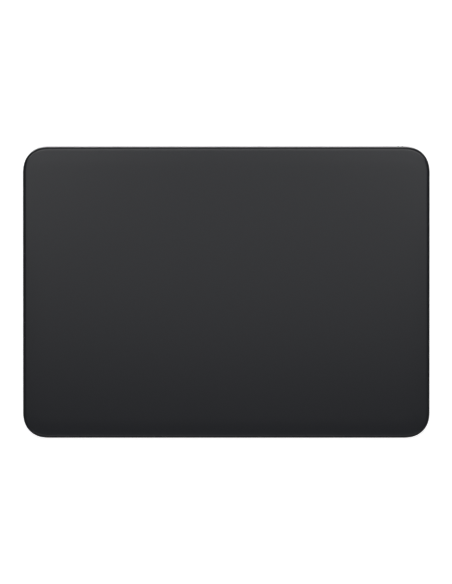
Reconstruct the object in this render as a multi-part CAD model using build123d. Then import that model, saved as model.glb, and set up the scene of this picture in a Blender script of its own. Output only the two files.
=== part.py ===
from build123d import *
from math import asin, cos, radians, sin, tan
import os

# Wedge-shaped haptic trackpad. Millimetres, +X to the user's right, +Y to the rear, +Z up.
# The origin is under the middle of the footprint, on the table.

# Overall form
width = 160.0
glass_length = 114.5  # along the slope
front_height = 4.9
rear_height = 10.9
corner_radius = 8.6  # the tight middle of each corner
corner_lead_radius = 15.0  # the wider arcs that lead into it
corner_lead_turn = 12.0  # degrees turned by each leading arc

# Housing and underside
wall = 1.6
floor_thickness = 0.5
seam_gap = 0.3  # between the glass and the rim of the housing
bottom_edge_cut = 0.5
foot_proud = 0.4
foot_radius = 4.5
foot_pocket = 0.3
foot_edge_cut = 0.15
foot_inset_x = 14.0
foot_inset_y = 12.0
cover_thickness = 0.5
cover_rim = 2.4
cover_gap = 0.1
glue_thickness = 0.1
glue_frame = 4.0
access_radius = 2.2

# Layers under the glass
glass_thickness = 1.0
glass_edge_cut = 0.3
sensor_thickness = 0.5
stiffener_thickness = 0.4
layer_gap = 0.6  # from the layers to the inside of the walls
window_width = 34.0
window_length = 26.0
window_corner = 3.0
rib_slot_gap = 4.5  # from a slot's ends to the battery's middle and side
rib_slot_width = 6.0
rib_slot_pitch = 11.0
rib_slot_count = 2
touch_chip_size = 9.0
touch_chip_thickness = 0.8
touch_connector_length = 12.0
touch_connector_width = 3.4
touch_connector_height = 0.9

# Press and haptic travel
press_travel = 0.2
haptic_travel = 0.1
free_gap = 0.2  # beyond the travel

# Load path at each corner
button_radius = 2.5
button_thickness = 0.3
pad_length = 10.0
pad_width = 7.0
pad_thickness = 0.4
flexure_length = 22.0
flexure_thickness = 0.4
flexure_root_length = 6.0
flexure_root_width = 14.0
flexure_neck_width = 5.0
flexure_neck_length = 5.0
flexure_head_width = 9.0
flexure_corner_cut = 0.8
flexure_side_gap = 5.0
flexure_front_inset = 21.3
flexure_rear_inset = 35.3
gauge_length = 3.4
gauge_width = 2.4
gauge_thickness = 0.1

# Screws
screw_head_radius = 1.3
screw_head_height = 0.3
screw_radius = 0.6
screw_length = 0.9
screw_gap = 0.1
screw_sides = 12  # facets of each small round
screw_spread = 8.0
plate_screw_head_height = 0.4

# Haptic motor
motor_side_inset = 11.0  # from the battery's side to the bracket's
motor_width = 24.0
motor_corner = 2.0
motor_gap = 2.5
motor_front_room = 25.5  # from the front wall
motor_lift = 0.5  # least height of its posts
bracket_thickness = 0.4
bracket_screw_inset = 2.6
core_spine = 2.4
bracket_ear = 5.75  # bracket beyond the armature bar
core_width = 20.4
tooth_length = 12.0
tooth_width = 3.2
tooth_count = 3
coil_wall = 0.3
coil_side = 1.3
coil_gap = 0.1
coil_length = 8.0
coil_corner_cut = 0.3
air_gap = 0.25  # beyond the haptic travel
armature_thickness = 2.0

# Battery
battery_side_room = 31.0
battery_corner = 2.0
battery_board_length = 42.0
battery_board_width = 3.2
battery_board_thickness = 0.6
part_gap = 0.8  # between neighbours that don't touch

# Main board
board_thickness = 0.6
board_depth = 15.0
board_left_reach = 16.0
board_side_gap = 5.0
board_wall_gap = 2.0
board_corner = 1.0
post_radius = 2.1
post_end_inset = 4.5
post_rear_inset = 3.0
port_post_reach = 22.0  # post between the port and the radio
chip_height = 0.9
chip_sizes = ((6.0, 6.0), (4.0, 5.0), (3.2, 3.2), (5.0, 2.4))
chip_reaches = (9.0, 16.0, 50.0, 40.0)  # to the right of the port's middle
chip_shares = (0.70, 0.70, 0.24, 0.82)  # across the board's depth
shield_length = 22.0
shield_width = 10.0
shield_height = 1.6
shield_wall = 0.2
shield_reach = 35.0
ribbon_thickness = 0.15
ribbon_bend = 0.5
ribbon_width = 9.0
board_connector_height = 0.9
board_connector_width = 3.0
connector_reach = 16.0
gauge_ribbon_width = 3.0

# USB-C port
usb_width = 8.94
usb_height = 3.16
usb_length = 7.3
usb_wall = 0.3
usb_recess = 0.5
usb_hole_gap = 0.15
usb_back = 1.2
tongue_width = 6.69
tongue_thickness = 0.7
tongue_length = 4.45

# Power switch
switch_inset = 12.5
slot_length = 5.6
slot_height = 2.4
slot_corner = 0.6
slot_end_gap = 0.35
knob_width = 2.9
knob_height = 1.9
knob_corner = 0.3
knob_proud = 0.2
rib_count = 3
rib_depth = 0.15
flange_overlap = 0.3
flange_thickness = 0.5
slide_gap = 0.1
stem_width = 1.5
stem_height = 1.4
stem_length = 4.4
fork_depth = 1.6
guide_thickness = 0.6
guide_rail = 0.7
guide_margin = 0.5
marker_thickness = 0.2
lever_width = 0.8
lever_height = 0.8
lever_proud = 1.7
lever_root = 1.4
switch_body_depth = 3.2
switch_body_height = 2.2
switch_body_margin = 1.4

# Antenna
antenna_length = 26.0
antenna_width = 6.0
antenna_thickness = 0.8
antenna_leg = 3.0
antenna_side_gap = 16.0  # from the left side of the housing
cable_radius = 0.5

overrun = 2.0  # how far a cutting shape runs past what it cuts

# Slope of the glass, and where its middle lies
tilt = asin((rear_height - front_height) / glass_length)
glass_run = glass_length * cos(tilt)
glass_middle_y = -(rear_height - foot_proud) * tan(tilt) / 2
glass_middle_z = (front_height + rear_height) / 2
deck = Plane(
    origin=(0, glass_middle_y, glass_middle_z),
    x_dir=(1, 0, 0),
    z_dir=(0, -sin(tilt), cos(tilt)),
)

# Depths below the glass top, square to it
sensor_depth = glass_thickness + glue_thickness
stiffener_depth = sensor_depth + sensor_thickness
stack_depth = stiffener_depth + stiffener_thickness
pad_depth = stack_depth + button_thickness
flexure_depth = pad_depth + pad_thickness
boss_depth = flexure_depth + flexure_thickness
rim_depth = glass_thickness + seam_gap
clear_depth = stack_depth + press_travel + free_gap

# Heights above the table
cover_top = foot_proud + cover_thickness
floor_top = cover_top + glue_thickness + floor_thickness


def deck_height(y, depth):
    """Height, at a place y, of the plane that lies at a depth below the glass top."""
    return glass_middle_z + (y - glass_middle_y) * tan(tilt) - depth / cos(tilt)


def rear_face_y(height, inset):
    """Where the rear wall stands at a height, drawn in by an inset."""
    return glass_middle_y + glass_run / 2 + (rear_height - height) * tan(tilt) - inset / cos(tilt)


def front_face_y(height):
    """Where the front wall stands at a height."""
    return glass_middle_y - glass_run / 2 + (front_height - height) * tan(tilt)


# The underside
underside_length = rear_face_y(foot_proud, 0) - front_face_y(foot_proud)
underside_middle_y = (rear_face_y(foot_proud, 0) + front_face_y(foot_proud)) / 2
foot_x = width / 2 - foot_inset_x
foot_y = underside_length / 2 - foot_inset_y

# Port, board, battery and motor follow each other from the rear wall to the front
port_height = (floor_top + deck_height(rear_face_y(floor_top, wall), clear_depth)) / 2
board_top = port_height - usb_height / 2
board_bottom = board_top - board_thickness
board_rear_y = rear_face_y(board_top, wall) - board_wall_gap
board_front_y = board_rear_y - board_depth
board_right = width / 2 - board_side_gap
board_width = board_right + board_left_reach
battery_board_y = board_front_y - part_gap - battery_board_width / 2
battery_rear_y = battery_board_y - battery_board_width / 2
motor_front_y = front_face_y(floor_top) + motor_front_room
motor_middle_y = motor_front_y + motor_width / 2
battery_front_y = motor_front_y + motor_width + motor_gap
battery_length = battery_rear_y - battery_front_y
battery_width = width - 2 * battery_side_room
battery_height = deck_height(battery_front_y, clear_depth) - floor_top

# Load beams, in the plane of the glass
flexure_u = width / 2 - flexure_side_gap - flexure_length / 2
flexure_front_v = flexure_front_inset - glass_length / 2
flexure_rear_v = glass_length / 2 - flexure_rear_inset
head_offset = flexure_length - flexure_root_length - flexure_neck_length
corners = {
    "front_left": (-1, flexure_front_v),
    "front_right": (1, flexure_front_v),
    "rear_left": (-1, flexure_rear_v),
    "rear_right": (1, flexure_rear_v),
}

# Haptic motor, in the plane of the glass
motor_v = (motor_middle_y - glass_middle_y) / cos(tilt)
motor_length = battery_width - 2 * motor_side_inset
bracket_bottom_depth = (deck_height(motor_front_y, 0) - floor_top - motor_lift) * cos(tilt)
bracket_depth = bracket_bottom_depth - bracket_thickness
coil_height = bracket_depth - clear_depth
tooth_height = coil_height - 2 * (coil_wall + coil_gap)
tooth_pitch = (core_width - tooth_width) / (tooth_count - 1)
armature_u = motor_length / 2 - bracket_ear - armature_thickness / 2
tooth_tip = armature_u - armature_thickness / 2 - haptic_travel - air_gap
core_inset = tooth_tip - tooth_length - core_spine
armature_height = bracket_depth - stack_depth - press_travel - free_gap

# Power switch, in the plane of the glass
inner_v = glass_length / 2 - wall
slot_u = width / 2 - switch_inset
slot_depth = (rear_height - port_height) / cos(tilt)
switch_travel = slot_length - knob_width - 2 * slot_end_gap
knob_u = slot_u + slot_length / 2 - slot_end_gap - knob_width / 2
flange_length = slot_length + 2 * flange_overlap
flange_height = slot_height + 2 * flange_overlap
flange_front_v = inner_v - slide_gap
flange_back_v = flange_front_v - flange_thickness
stem_u = slot_u - slot_length / 2 + flange_overlap + stem_width / 2
stem_end_v = flange_back_v - stem_length
guide_front_v = flange_back_v - slide_gap - marker_thickness
guide_back_v = guide_front_v - guide_thickness
lever_z = port_height
stem_end_y = glass_middle_y + stem_end_v * cos(tilt) + slot_depth * sin(tilt)
switch_body_y = stem_end_y - slot_end_gap
lever_tip_y = switch_body_y + lever_proud


def rounded_outline(size_x, size_y, inset):
    """Rectangle whose corners ease in and out of a tighter arc, drawn in by an inset."""
    half_x = size_x / 2 - inset
    half_y = size_y / 2 - inset
    lead = corner_lead_radius - inset
    tight = corner_radius - inset
    turn = radians(corner_lead_turn)
    reach = lead * (sin(turn) + 1 - cos(turn)) + tight * (cos(turn) - sin(turn))
    side = Line((half_x, 0), (half_x, half_y - reach))
    ease_in = JernArc(side @ 1, side % 1, lead, corner_lead_turn)
    bend = JernArc(ease_in @ 1, ease_in % 1, tight, 90 - 2 * corner_lead_turn)
    ease_out = JernArc(bend @ 1, bend % 1, lead, corner_lead_turn)
    end = Line(ease_out @ 1, (0, (ease_out @ 1).Y))
    quarter = side + ease_in + bend + ease_out + end
    half = quarter + mirror(quarter, Plane.YZ)
    return make_face(half + mirror(half, Plane.XZ))


def up(outline, bottom, thickness):
    """Prism that stands on a height, in whichever frame it is drawn."""
    return extrude(Pos(0, 0, bottom) * outline, amount=thickness, dir=(0, 0, 1))


def layer(outline, depth, thickness):
    """Plate parallel to the glass, with its top face at a depth below the glass top."""
    return deck * up(outline, -depth - thickness, thickness)


def block(x_range, y_range, z_range):
    """Box between two values on each axis."""
    size = [high - low for low, high in (x_range, y_range, z_range)]
    return Pos(x_range[0], y_range[0], z_range[0]) * Box(*size, align=Align.MIN)


def about(middle, size):
    """The two ends of a length about its middle."""
    return (middle - size / 2, middle + size / 2)


def above(solid, height):
    """The part of a solid that lies above a level plane."""
    return split(solid, Plane.XY.offset(height), keep=Keep.TOP)


def port_bar(growth, y, run):
    """Level prism towards the rear with the port's outline, grown on all sides."""
    size = (usb_width + 2 * growth, usb_height + 2 * growth)
    outline = Plane.XZ.offset(-y) * Pos(0, port_height) * SlotOverall(*size)
    return extrude(outline, amount=run, dir=(0, 1, 0))


def small_round(radius):
    """Small round outline with few facets."""
    return RegularPolygon(radius, screw_sides)


def screws(held_thickness, seats):
    """Like screws, each with its head on a seat and its shank through what it holds."""
    shank = held_thickness + screw_length
    head = up(small_round(screw_head_radius), 0, screw_head_height)
    one = head + up(small_round(screw_radius), -shank, shank)
    return group(seat * one for seat in seats)


def pilot_hole(depth):
    """Hole for a screw's shank, below its seat."""
    return up(small_round(screw_radius + screw_gap), -depth, depth + overrun)


def beam_place(side, v, offset, depth):
    """Place on a load beam: its side, and an offset from the beam's middle towards the wall."""
    return deck * Pos(side * (flexure_u + offset), v, -depth)


def root_offset():
    """Middle of the bolted root, from the middle of the beam."""
    return (flexure_length - flexure_root_length) / 2


def button_offset():
    """Middle of the load button, from the middle of the beam."""
    return (head_offset - flexure_length) / 2


def flexure_screw_places():
    """Seats of the screws that hold the load beams."""
    return [
        beam_place(side, v + end * screw_spread / 2, root_offset(), flexure_depth)
        for side, v in corners.values()
        for end in (-1, 1)
    ]


def motor_screw_places():
    """Seats of the screws that hold the motor's bracket."""
    reach_u = motor_length / 2 - bracket_screw_inset
    reach_v = motor_width / 2 - bracket_screw_inset
    return [
        deck * Pos(side * reach_u, motor_v + end * reach_v, -bracket_depth)
        for side in (-1, 1)
        for end in (-1, 1)
    ]


def board_place(x, depth_share):
    """Place on top of the main board: x, and a share of its depth."""
    return Pos(x, board_front_y + board_depth * depth_share, board_top)


def post_places():
    """Seats on the main board, over its posts."""
    left_x = post_end_inset - board_left_reach
    right_x = board_right - post_end_inset - post_radius
    front_y = board_front_y + gauge_ribbon_width + part_gap + post_radius
    rear_y = board_rear_y - post_rear_inset
    spots = ((left_x, front_y), (left_x, rear_y), (port_post_reach, rear_y), (right_x, front_y))
    return [Pos(x, y, board_top) for x, y in spots]


def rear_tray():
    """Open tray that the wall and the floor make, before its bosses and holes."""
    body = layer(rounded_outline(width, glass_length, 0), rim_depth, rear_height)
    body = above(body, foot_proud)
    bottom_edges = body.edges().group_by(Axis.Z)[0]
    body = chamfer(bottom_edges, bottom_edge_cut)
    room = layer(rounded_outline(width, glass_length, wall), rim_depth - overrun, rear_height + overrun)
    recess = up(
        rounded_outline(width, underside_length, cover_rim),
        foot_proud - overrun,
        cover_thickness + glue_thickness + overrun,
    )
    return body - above(room, floor_top) - Pos(0, underside_middle_y) * recess


def beam_bosses():
    """Bosses from the floor and the side walls up to the roots of the load beams."""
    reach = flexure_root_length + flexure_side_gap - wall / 2
    shaft = up(Rectangle(reach, flexure_root_width), -rear_height, rear_height)
    middle = root_offset() + (reach - flexure_root_length) / 2
    return [
        above(beam_place(side, v, middle, boss_depth) * shaft, floor_top)
        for side, v in corners.values()
    ]


def motor_posts():
    """Posts from the floor up to the motor's bracket."""
    shaft = up(small_round(post_radius), -bracket_thickness - rear_height, rear_height)
    return [above(place * shaft, floor_top) for place in motor_screw_places()]


def board_posts():
    """Posts from the floor up to the main board."""
    height = board_bottom - floor_top
    shaft = up(small_round(post_radius), -board_thickness - height, height)
    return [place * shaft for place in post_places()]


def round_block(middle_u, size, corner, v_range):
    """Bar towards the rear at the depth of the switch, with round edges, in the plane of the glass."""
    place = Plane.XZ.offset(-v_range[0]) * Pos(middle_u, -slot_depth)
    outline = place * RectangleRounded(*size, corner)
    return extrude(outline, amount=v_range[1] - v_range[0], dir=(0, 1, 0))


def housing():
    """Aluminium tray: walls square to the glass, level floor, bosses, port hole and switch slot."""
    tray = rear_tray()
    tray = tray + beam_bosses() + motor_posts() + board_posts()
    beam_hole = pilot_hole(flexure_thickness + screw_length)
    tray = tray - [place * beam_hole for place in flexure_screw_places()]
    motor_hole = pilot_hole(bracket_thickness + screw_length)
    tray = tray - [place * motor_hole for place in motor_screw_places()]
    board_hole = pilot_hole(board_thickness + screw_length)
    tray = tray - [place * board_hole for place in post_places()]
    access = up(small_round(access_radius), -rear_height, rear_height - boss_depth)
    tray = tray - [beam_place(side, v, button_offset(), 0) * access for side, v in corners.values()]
    hole_y = rear_face_y(port_height, wall) - overrun
    port_hole = port_bar(usb_hole_gap, hole_y, wall + 2 * overrun)
    slot_run = (inner_v - overrun, glass_length / 2 + overrun)
    slot = round_block(slot_u, (slot_length, slot_height), slot_corner, slot_run)
    return tray - port_hole - deck * slot


def cover_outline(extra):
    """Outline of the bottom cover, drawn in further by an extra."""
    return Pos(0, underside_middle_y) * rounded_outline(width, underside_length, cover_rim + extra)


def foot_places():
    """Middles of the four feet, by name."""
    return {
        "front_left": Pos(-foot_x, underside_middle_y - foot_y),
        "front_right": Pos(foot_x, underside_middle_y - foot_y),
        "rear_left": Pos(-foot_x, underside_middle_y + foot_y),
        "rear_right": Pos(foot_x, underside_middle_y + foot_y),
    }


def bottom_cover():
    """Thin cover let into the underside, with a pocket for each foot."""
    plate = up(cover_outline(cover_gap), foot_proud, cover_thickness)
    pocket = up(Circle(foot_radius + cover_gap), foot_proud - overrun, foot_pocket + overrun)
    return plate - [place * pocket for place in foot_places().values()]


def cover_adhesive():
    """Glue frame between the cover and the floor, with a bar across the middle."""
    sheet = up(cover_outline(cover_gap), cover_top, glue_thickness)
    inner = cover_outline(cover_gap + glue_frame)
    opening = up(inner, cover_top - overrun, glue_thickness + 2 * overrun)
    bar_run = about(underside_middle_y, underside_length)
    bar = block(about(0, glue_frame), bar_run, (cover_top - overrun, rear_height))
    return sheet - (opening - bar)


def foot():
    """Rubber disc with a bevelled lower edge."""
    disc = up(Circle(foot_radius), 0, foot_proud + foot_pocket)
    return chamfer(disc.edges().group_by(Axis.Z)[0], foot_edge_cut)


def touch_glass():
    """Glass plate that is the whole top face, with a bevelled upper edge."""
    plate = up(rounded_outline(width, glass_length, 0), -glass_thickness, glass_thickness)
    return deck * chamfer(plate.edges().group_by(Axis.Z)[-1], glass_edge_cut)


def layer_outline():
    """Outline of the layers under the glass, clear of the walls."""
    return rounded_outline(width, glass_length, wall + layer_gap)


def window_v():
    """Middle of the stiffener's window, over the main board and the battery's rear edge."""
    return (battery_rear_y - glass_middle_y) / cos(tilt)


def stiffener_plate():
    """Aluminium plate under the sensor, with a window for its chip and slots over the battery."""
    outline = layer_outline()
    window = RectangleRounded(window_width, window_length, window_corner)
    window = Pos(connector_reach, window_v()) * window
    first_v = window_v() - window_length / 2
    slot = SlotOverall(battery_width / 2 - 2 * rib_slot_gap, rib_slot_width)
    slots = [
        Pos(side * battery_width / 4, first_v - row * rib_slot_pitch) * slot
        for side in (-1, 1)
        for row in range(1, rib_slot_count + 1)
    ]
    return layer(outline - window - slots, stiffener_depth, stiffener_thickness)


def touch_controller():
    """Touch chip on the underside of the sensor board, inside the window."""
    v = window_v() + (window_length - touch_chip_size) / 2 - 2 * part_gap
    outline = Pos(connector_reach, v) * Rectangle(touch_chip_size, touch_chip_size)
    return layer(outline, stiffener_depth, touch_chip_thickness)


def touch_connector():
    """Connector on the underside of the sensor board, over the battery's rear edge."""
    outline = Rectangle(touch_connector_length, touch_connector_width)
    place = Pos(connector_reach, touch_connector_v())
    return layer(place * outline, stiffener_depth, touch_connector_height)


def touch_connector_v():
    """Middle of the sensor board's connector."""
    return window_v() - touch_connector_width / 2


def ribbon(points, middle_x, across):
    """Flat ribbon through points of y and z, extruded across."""
    path = FilletPolyline([Vector(0, y, z) for y, z in points], radius=ribbon_bend)
    raised = Pos(0, 0, ribbon_thickness) * path
    ends = Line(path @ 0, raised @ 0) + Line(path @ 1, raised @ 1)
    outline = Pos(middle_x - across / 2, 0) * make_face(path + raised + ends)
    return extrude(outline, amount=across, dir=(1, 0, 0))


def touch_flex():
    """Ribbon from the sensor board's connector down to the main board's."""
    v = touch_connector_v()
    depth = stiffener_depth + touch_connector_height
    y = v * cos(tilt) + glass_middle_y + depth * sin(tilt)
    upper = deck_height(y - touch_connector_width / 2, depth) - ribbon_thickness
    lower = board_top + board_connector_height
    landing_y = board_connector_y()
    half = board_connector_width / 2
    points = (
        (y - touch_connector_width / 2, upper),
        (y + touch_connector_width / 2, upper),
        (landing_y - half, lower),
        (landing_y + half, lower),
    )
    return ribbon(points, connector_reach, ribbon_width)


def board_connector_y():
    """Middle of the main board's connector, just inside its front edge."""
    return board_front_y + board_connector_width / 2 + part_gap


def board_connector():
    """Connector on the main board for the touch ribbon."""
    return block(
        about(connector_reach, touch_connector_length),
        about(board_connector_y(), board_connector_width),
        (board_top, board_top + board_connector_height),
    )


def armature_bar(side):
    """Steel bar on the stiffener that the motor's coils pull."""
    outline = Rectangle(armature_thickness, core_width)
    place = Pos(side * armature_u, motor_v)
    return layer(place * outline, stack_depth, armature_height)


def load_button():
    """Steel button between the gel pad and the stiffener, with its middle at the origin."""
    return up(Circle(button_radius), -button_thickness, button_thickness)


def isolator_pad():
    """Gel pad on the head of a load beam, with a hole for the plate's screw."""
    outline = Rectangle(pad_length, pad_width) - small_round(screw_radius + screw_gap)
    return up(outline, -pad_thickness, pad_thickness)


def plate_screws():
    """Screws from below, through the load beams, into the buttons."""
    shank = pad_thickness + flexure_thickness
    head = small_round(screw_head_radius)
    one = up(small_round(screw_radius), -shank, shank)
    one = one + up(head, -shank - plate_screw_head_height, plate_screw_head_height)
    return [beam_place(side, v, button_offset(), pad_depth) * one for side, v in corners.values()]


def flexure(side, v):
    """Steel load beam: bolted root, narrow neck and wide head."""
    root = Pos(root_offset(), 0) * Rectangle(flexure_root_length, flexure_root_width)
    neck_middle = flexure_length / 2 - flexure_root_length - flexure_neck_length / 2
    neck = Pos(neck_middle, 0) * Rectangle(flexure_neck_length, flexure_neck_width)
    head = Pos(button_offset(), 0) * Rectangle(head_offset, flexure_head_width)
    outline = root + neck + head
    outline = chamfer(outline.vertices(), flexure_corner_cut)
    hole = small_round(screw_radius + screw_gap)
    for end in (-1, 1):
        outline = outline - Pos(root_offset(), end * screw_spread / 2) * hole
    outline = outline - Pos(button_offset(), 0) * hole
    beam = up(outline, -flexure_thickness, flexure_thickness)
    if side < 0:
        beam = mirror(beam, Plane.YZ)
    return deck * Pos(side * flexure_u, v, -flexure_depth) * beam


def strain_gauges():
    """Foil gauges on the necks of the load beams."""
    neck_middle = flexure_length / 2 - flexure_root_length - flexure_neck_length / 2
    foil = up(Rectangle(gauge_length, gauge_width), 0, gauge_thickness)
    return [beam_place(side, v, neck_middle, flexure_depth) * foil for side, v in corners.values()]


def gauge_flex():
    """Ribbon on the floor that joins the four load beams to the main board."""
    middle_x = battery_width / 2 + part_gap + gauge_ribbon_width / 2
    link_y = board_front_y + gauge_ribbon_width / 2
    front_y = flexure_front_v * cos(tilt) + glass_middle_y
    z_range = (floor_top, floor_top + ribbon_thickness)
    runs = [
        block(about(side * middle_x, gauge_ribbon_width), (front_y, link_y), z_range)
        for side in (-1, 1)
    ]
    link_run = about(0, 2 * middle_x + gauge_ribbon_width)
    link = block(link_run, about(link_y, gauge_ribbon_width), z_range)
    return link + runs


def battery_cell():
    """Pouch cell on the floor, as thick as the room under the sloping layers allows."""
    pouch = up(RectangleRounded(battery_width, battery_length, battery_corner), 0, battery_height)
    return Pos(0, (battery_front_y + battery_rear_y) / 2, floor_top) * pouch


def battery_board():
    """Protection board along the rear edge of the cell, with its two switches."""
    strip = block(
        about(connector_reach, battery_board_length),
        about(battery_board_y, battery_board_width),
        (floor_top, floor_top + battery_board_thickness),
    )
    chip_size = battery_board_width - 2 * part_gap
    chips = [
        block(
            about(connector_reach + side * battery_board_length / 4, chip_size),
            about(battery_board_y, chip_size),
            (floor_top + battery_board_thickness, floor_top + battery_board_thickness + chip_height),
        )
        for side in (0, 1)
    ]
    return strip + chips


def battery_flex():
    """Ribbon from the protection board up to the main board."""
    low = floor_top + battery_board_thickness
    high = board_top
    start_x = connector_reach - battery_board_length / 2 + ribbon_width / 2
    points = (
        (battery_board_y - battery_board_width / 4, low),
        (battery_board_y + battery_board_width / 4, low),
        (board_front_y - ribbon_bend, high),
        (board_connector_y(), high),
    )
    return ribbon(points, start_x, ribbon_width)


def main_board():
    """Board along the rear wall, with a hole at each post."""
    outline = RectangleRounded(board_width, board_depth, board_corner)
    middle = board_place(board_right - board_width / 2, 1 / 2)
    plate = middle * up(outline, -board_thickness, board_thickness)
    hole = pilot_hole(board_thickness + overrun)
    return plate - [place * hole for place in post_places()]


def board_chips():
    """Chips on the main board."""
    return [
        board_place(reach, share) * up(Rectangle(*size), 0, chip_height)
        for reach, share, size in zip(chip_reaches, chip_shares, chip_sizes)
    ]


def shield_can():
    """Pressed shield over the radio, open below."""
    outer = up(RectangleRounded(shield_length, shield_width, board_corner), 0, shield_height)
    inner = up(
        Rectangle(shield_length - 2 * shield_wall, shield_width - 2 * shield_wall),
        -overrun,
        shield_height - shield_wall + overrun,
    )
    return board_place(shield_reach, shield_width / 2 / board_depth) * (outer - inner)


def usb_shell():
    """Stamped shell of the port, open to the rear."""
    start_y = rear_face_y(port_height, usb_recess) - usb_length
    shell = port_bar(0, start_y, usb_length)
    return shell - port_bar(-usb_wall, start_y - overrun, usb_length + 2 * overrun)


def usb_tongue():
    """Moulded plug at the back of the shell, with the contact tongue."""
    start_y = rear_face_y(port_height, usb_recess) - usb_length
    plug = port_bar(-usb_wall, start_y, usb_back)
    tongue = block(
        about(0, tongue_width),
        (start_y + usb_back / 2, start_y + usb_back + tongue_length),
        about(port_height, tongue_thickness),
    )
    return plug + tongue


def in_slot(u_range, v_range, above_slot):
    """Box near the switch, in the plane of the glass, with its heights from the slot's middle."""
    w_range = (above_slot[0] - slot_depth, above_slot[1] - slot_depth)
    return block(u_range, v_range, w_range)


def switch_slider():
    """Slider of the power switch: ribbed knob, flange behind the slot, and a forked stem."""
    tip_v = glass_length / 2 + knob_proud
    knob = round_block(knob_u, (knob_width, knob_height), knob_corner, (flange_front_v, tip_v))
    rib_pitch = knob_width / (rib_count + 1)
    for rib in range(rib_count):
        groove_u = knob_u - knob_width / 2 + (rib + 1) * rib_pitch
        groove_run = (tip_v - rib_depth, tip_v + overrun)
        knob = knob - in_slot(about(groove_u, rib_depth), groove_run, about(0, rear_height))
    flange_run = (flange_back_v, flange_front_v)
    flange = in_slot(about(slot_u, flange_length), flange_run, about(0, flange_height))
    stem = in_slot(about(stem_u, stem_width), (stem_end_v, flange_back_v), about(0, stem_height))
    fork = in_slot(
        about(stem_u, lever_width + 2 * slide_gap),
        (stem_end_v - overrun, stem_end_v + fork_depth + slot_end_gap),
        about(0, rear_height),
    )
    return deck * (knob + flange + (stem - fork))


def switch_guide():
    """Moulded guide behind the flange, between two rails that meet the rear wall."""
    u_range = (
        stem_u - switch_travel - stem_width / 2 - 2 * guide_margin - slide_gap,
        slot_u + slot_length / 2 + guide_margin + slide_gap,
    )
    half = flange_height / 2 + slide_gap
    back = in_slot(u_range, (guide_back_v, guide_front_v), (-half - guide_rail, half + guide_rail))
    opening = in_slot(
        about(stem_u - switch_travel / 2, switch_travel + stem_width + 2 * guide_margin),
        (guide_back_v - overrun, guide_front_v + overrun),
        about(0, stem_height + 2 * slide_gap),
    )
    rail_middle = half + guide_rail / 2
    rails = [
        in_slot(u_range, (guide_back_v, glass_length / 2), about(end * rail_middle, guide_rail))
        for end in (-1, 1)
    ]
    room = layer(rounded_outline(width, glass_length, wall), 0, rear_height)
    return (deck * (back - opening + rails)) & room


def switch_marker():
    """Green strip on the guide that shows beside the knob when the power is on."""
    return deck * in_slot(
        (slot_u + slot_length / 2 - switch_travel, slot_u + slot_length / 2 + guide_margin),
        (guide_front_v, guide_front_v + marker_thickness),
        about(0, slot_height),
    )


def switch_body():
    """Slide switch on the main board, with a slot for its lever."""
    middle_x = stem_u - switch_travel / 2
    length = switch_travel + lever_width + 2 * switch_body_margin
    body = block(
        about(middle_x, length),
        (switch_body_y - switch_body_depth, switch_body_y),
        (board_top, board_top + switch_body_height),
    )
    slot = block(
        about(middle_x, switch_travel + lever_width + 2 * slide_gap),
        (switch_body_y - lever_root - slide_gap, switch_body_y + overrun),
        about(lever_z, lever_height + 2 * slide_gap),
    )
    return body - slot


def switch_lever():
    """Lever of the slide switch, held in the fork of the slider."""
    return block(
        about(stem_u, lever_width),
        (switch_body_y - lever_root, lever_tip_y),
        about(lever_z, lever_height),
    )


def antenna_right_x():
    """Right end of the aerial, which stands near the left wall."""
    return antenna_side_gap + antenna_length - width / 2


def antenna():
    """Plastic aerial carrier that bridges up from the floor, left of the main board."""
    right_x = antenna_right_x()
    y_range = about((board_front_y + board_rear_y) / 2, antenna_width)
    top = deck_height(y_range[0], clear_depth)
    bridge = block((right_x - antenna_length, right_x), y_range, (top - antenna_thickness, top))
    legs = [
        block(x_range, y_range, (floor_top, top))
        for x_range in (
            (right_x - antenna_length, right_x - antenna_length + antenna_leg),
            (right_x - antenna_leg, right_x),
        )
    ]
    return bridge + legs


def antenna_cable():
    """Thin coaxial lead from the aerial's leg onto the main board."""
    left_x = antenna_right_x()
    end_x = post_end_inset - board_left_reach
    y = (board_front_y + board_rear_y) / 2
    lead = Plane.YZ.offset(left_x) * Pos(y, board_top + cable_radius) * Circle(cable_radius)
    return extrude(lead, amount=end_x - left_x, dir=(1, 0, 0))


def actuator_bracket():
    """Plate that carries the cores, on four posts."""
    outline = RectangleRounded(motor_length, motor_width, motor_corner)
    plate = layer(Pos(0, motor_v) * outline, bracket_depth, bracket_thickness)
    hole = pilot_hole(bracket_thickness + overrun)
    return plate - [place * hole for place in motor_screw_places()]


def tooth_offsets():
    """Places of the teeth along a core."""
    return [(tooth - (tooth_count - 1) / 2) * tooth_pitch for tooth in range(tooth_count)]


def actuator_core(side):
    """Laminated core: a spine on the bracket, and teeth that point outwards."""
    bottom = -bracket_depth
    spine = block(
        (core_inset, core_inset + core_spine),
        about(0, core_width),
        (bottom, bottom + coil_height),
    )
    teeth = [
        block(
            (core_inset, tooth_tip),
            about(offset, tooth_width),
            about(bottom + coil_height / 2, tooth_height),
        )
        for offset in tooth_offsets()
    ]
    core = spine + teeth
    if side < 0:
        core = mirror(core, Plane.YZ)
    return deck * Pos(0, motor_v) * core


def coil(side, offset):
    """Winding round one tooth."""
    outer = Rectangle(tooth_width + 2 * (coil_gap + coil_side), coil_height)
    outer = chamfer(outer.vertices(), coil_corner_cut)
    opening = Rectangle(tooth_width + 2 * coil_gap, tooth_height + 2 * coil_gap)
    start_u = core_inset + core_spine + (tooth_length - coil_length) / 2
    face = Plane.YZ.offset(start_u) * (outer - opening)
    winding = extrude(face, amount=coil_length, dir=(1, 0, 0))
    if side < 0:
        winding = mirror(winding, Plane.YZ)
    return deck * Pos(0, motor_v + offset, coil_height / 2 - bracket_depth) * winding


def group(solids):
    """Separate solids kept in one sub-part."""
    return Compound(children=list(solids))


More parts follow.
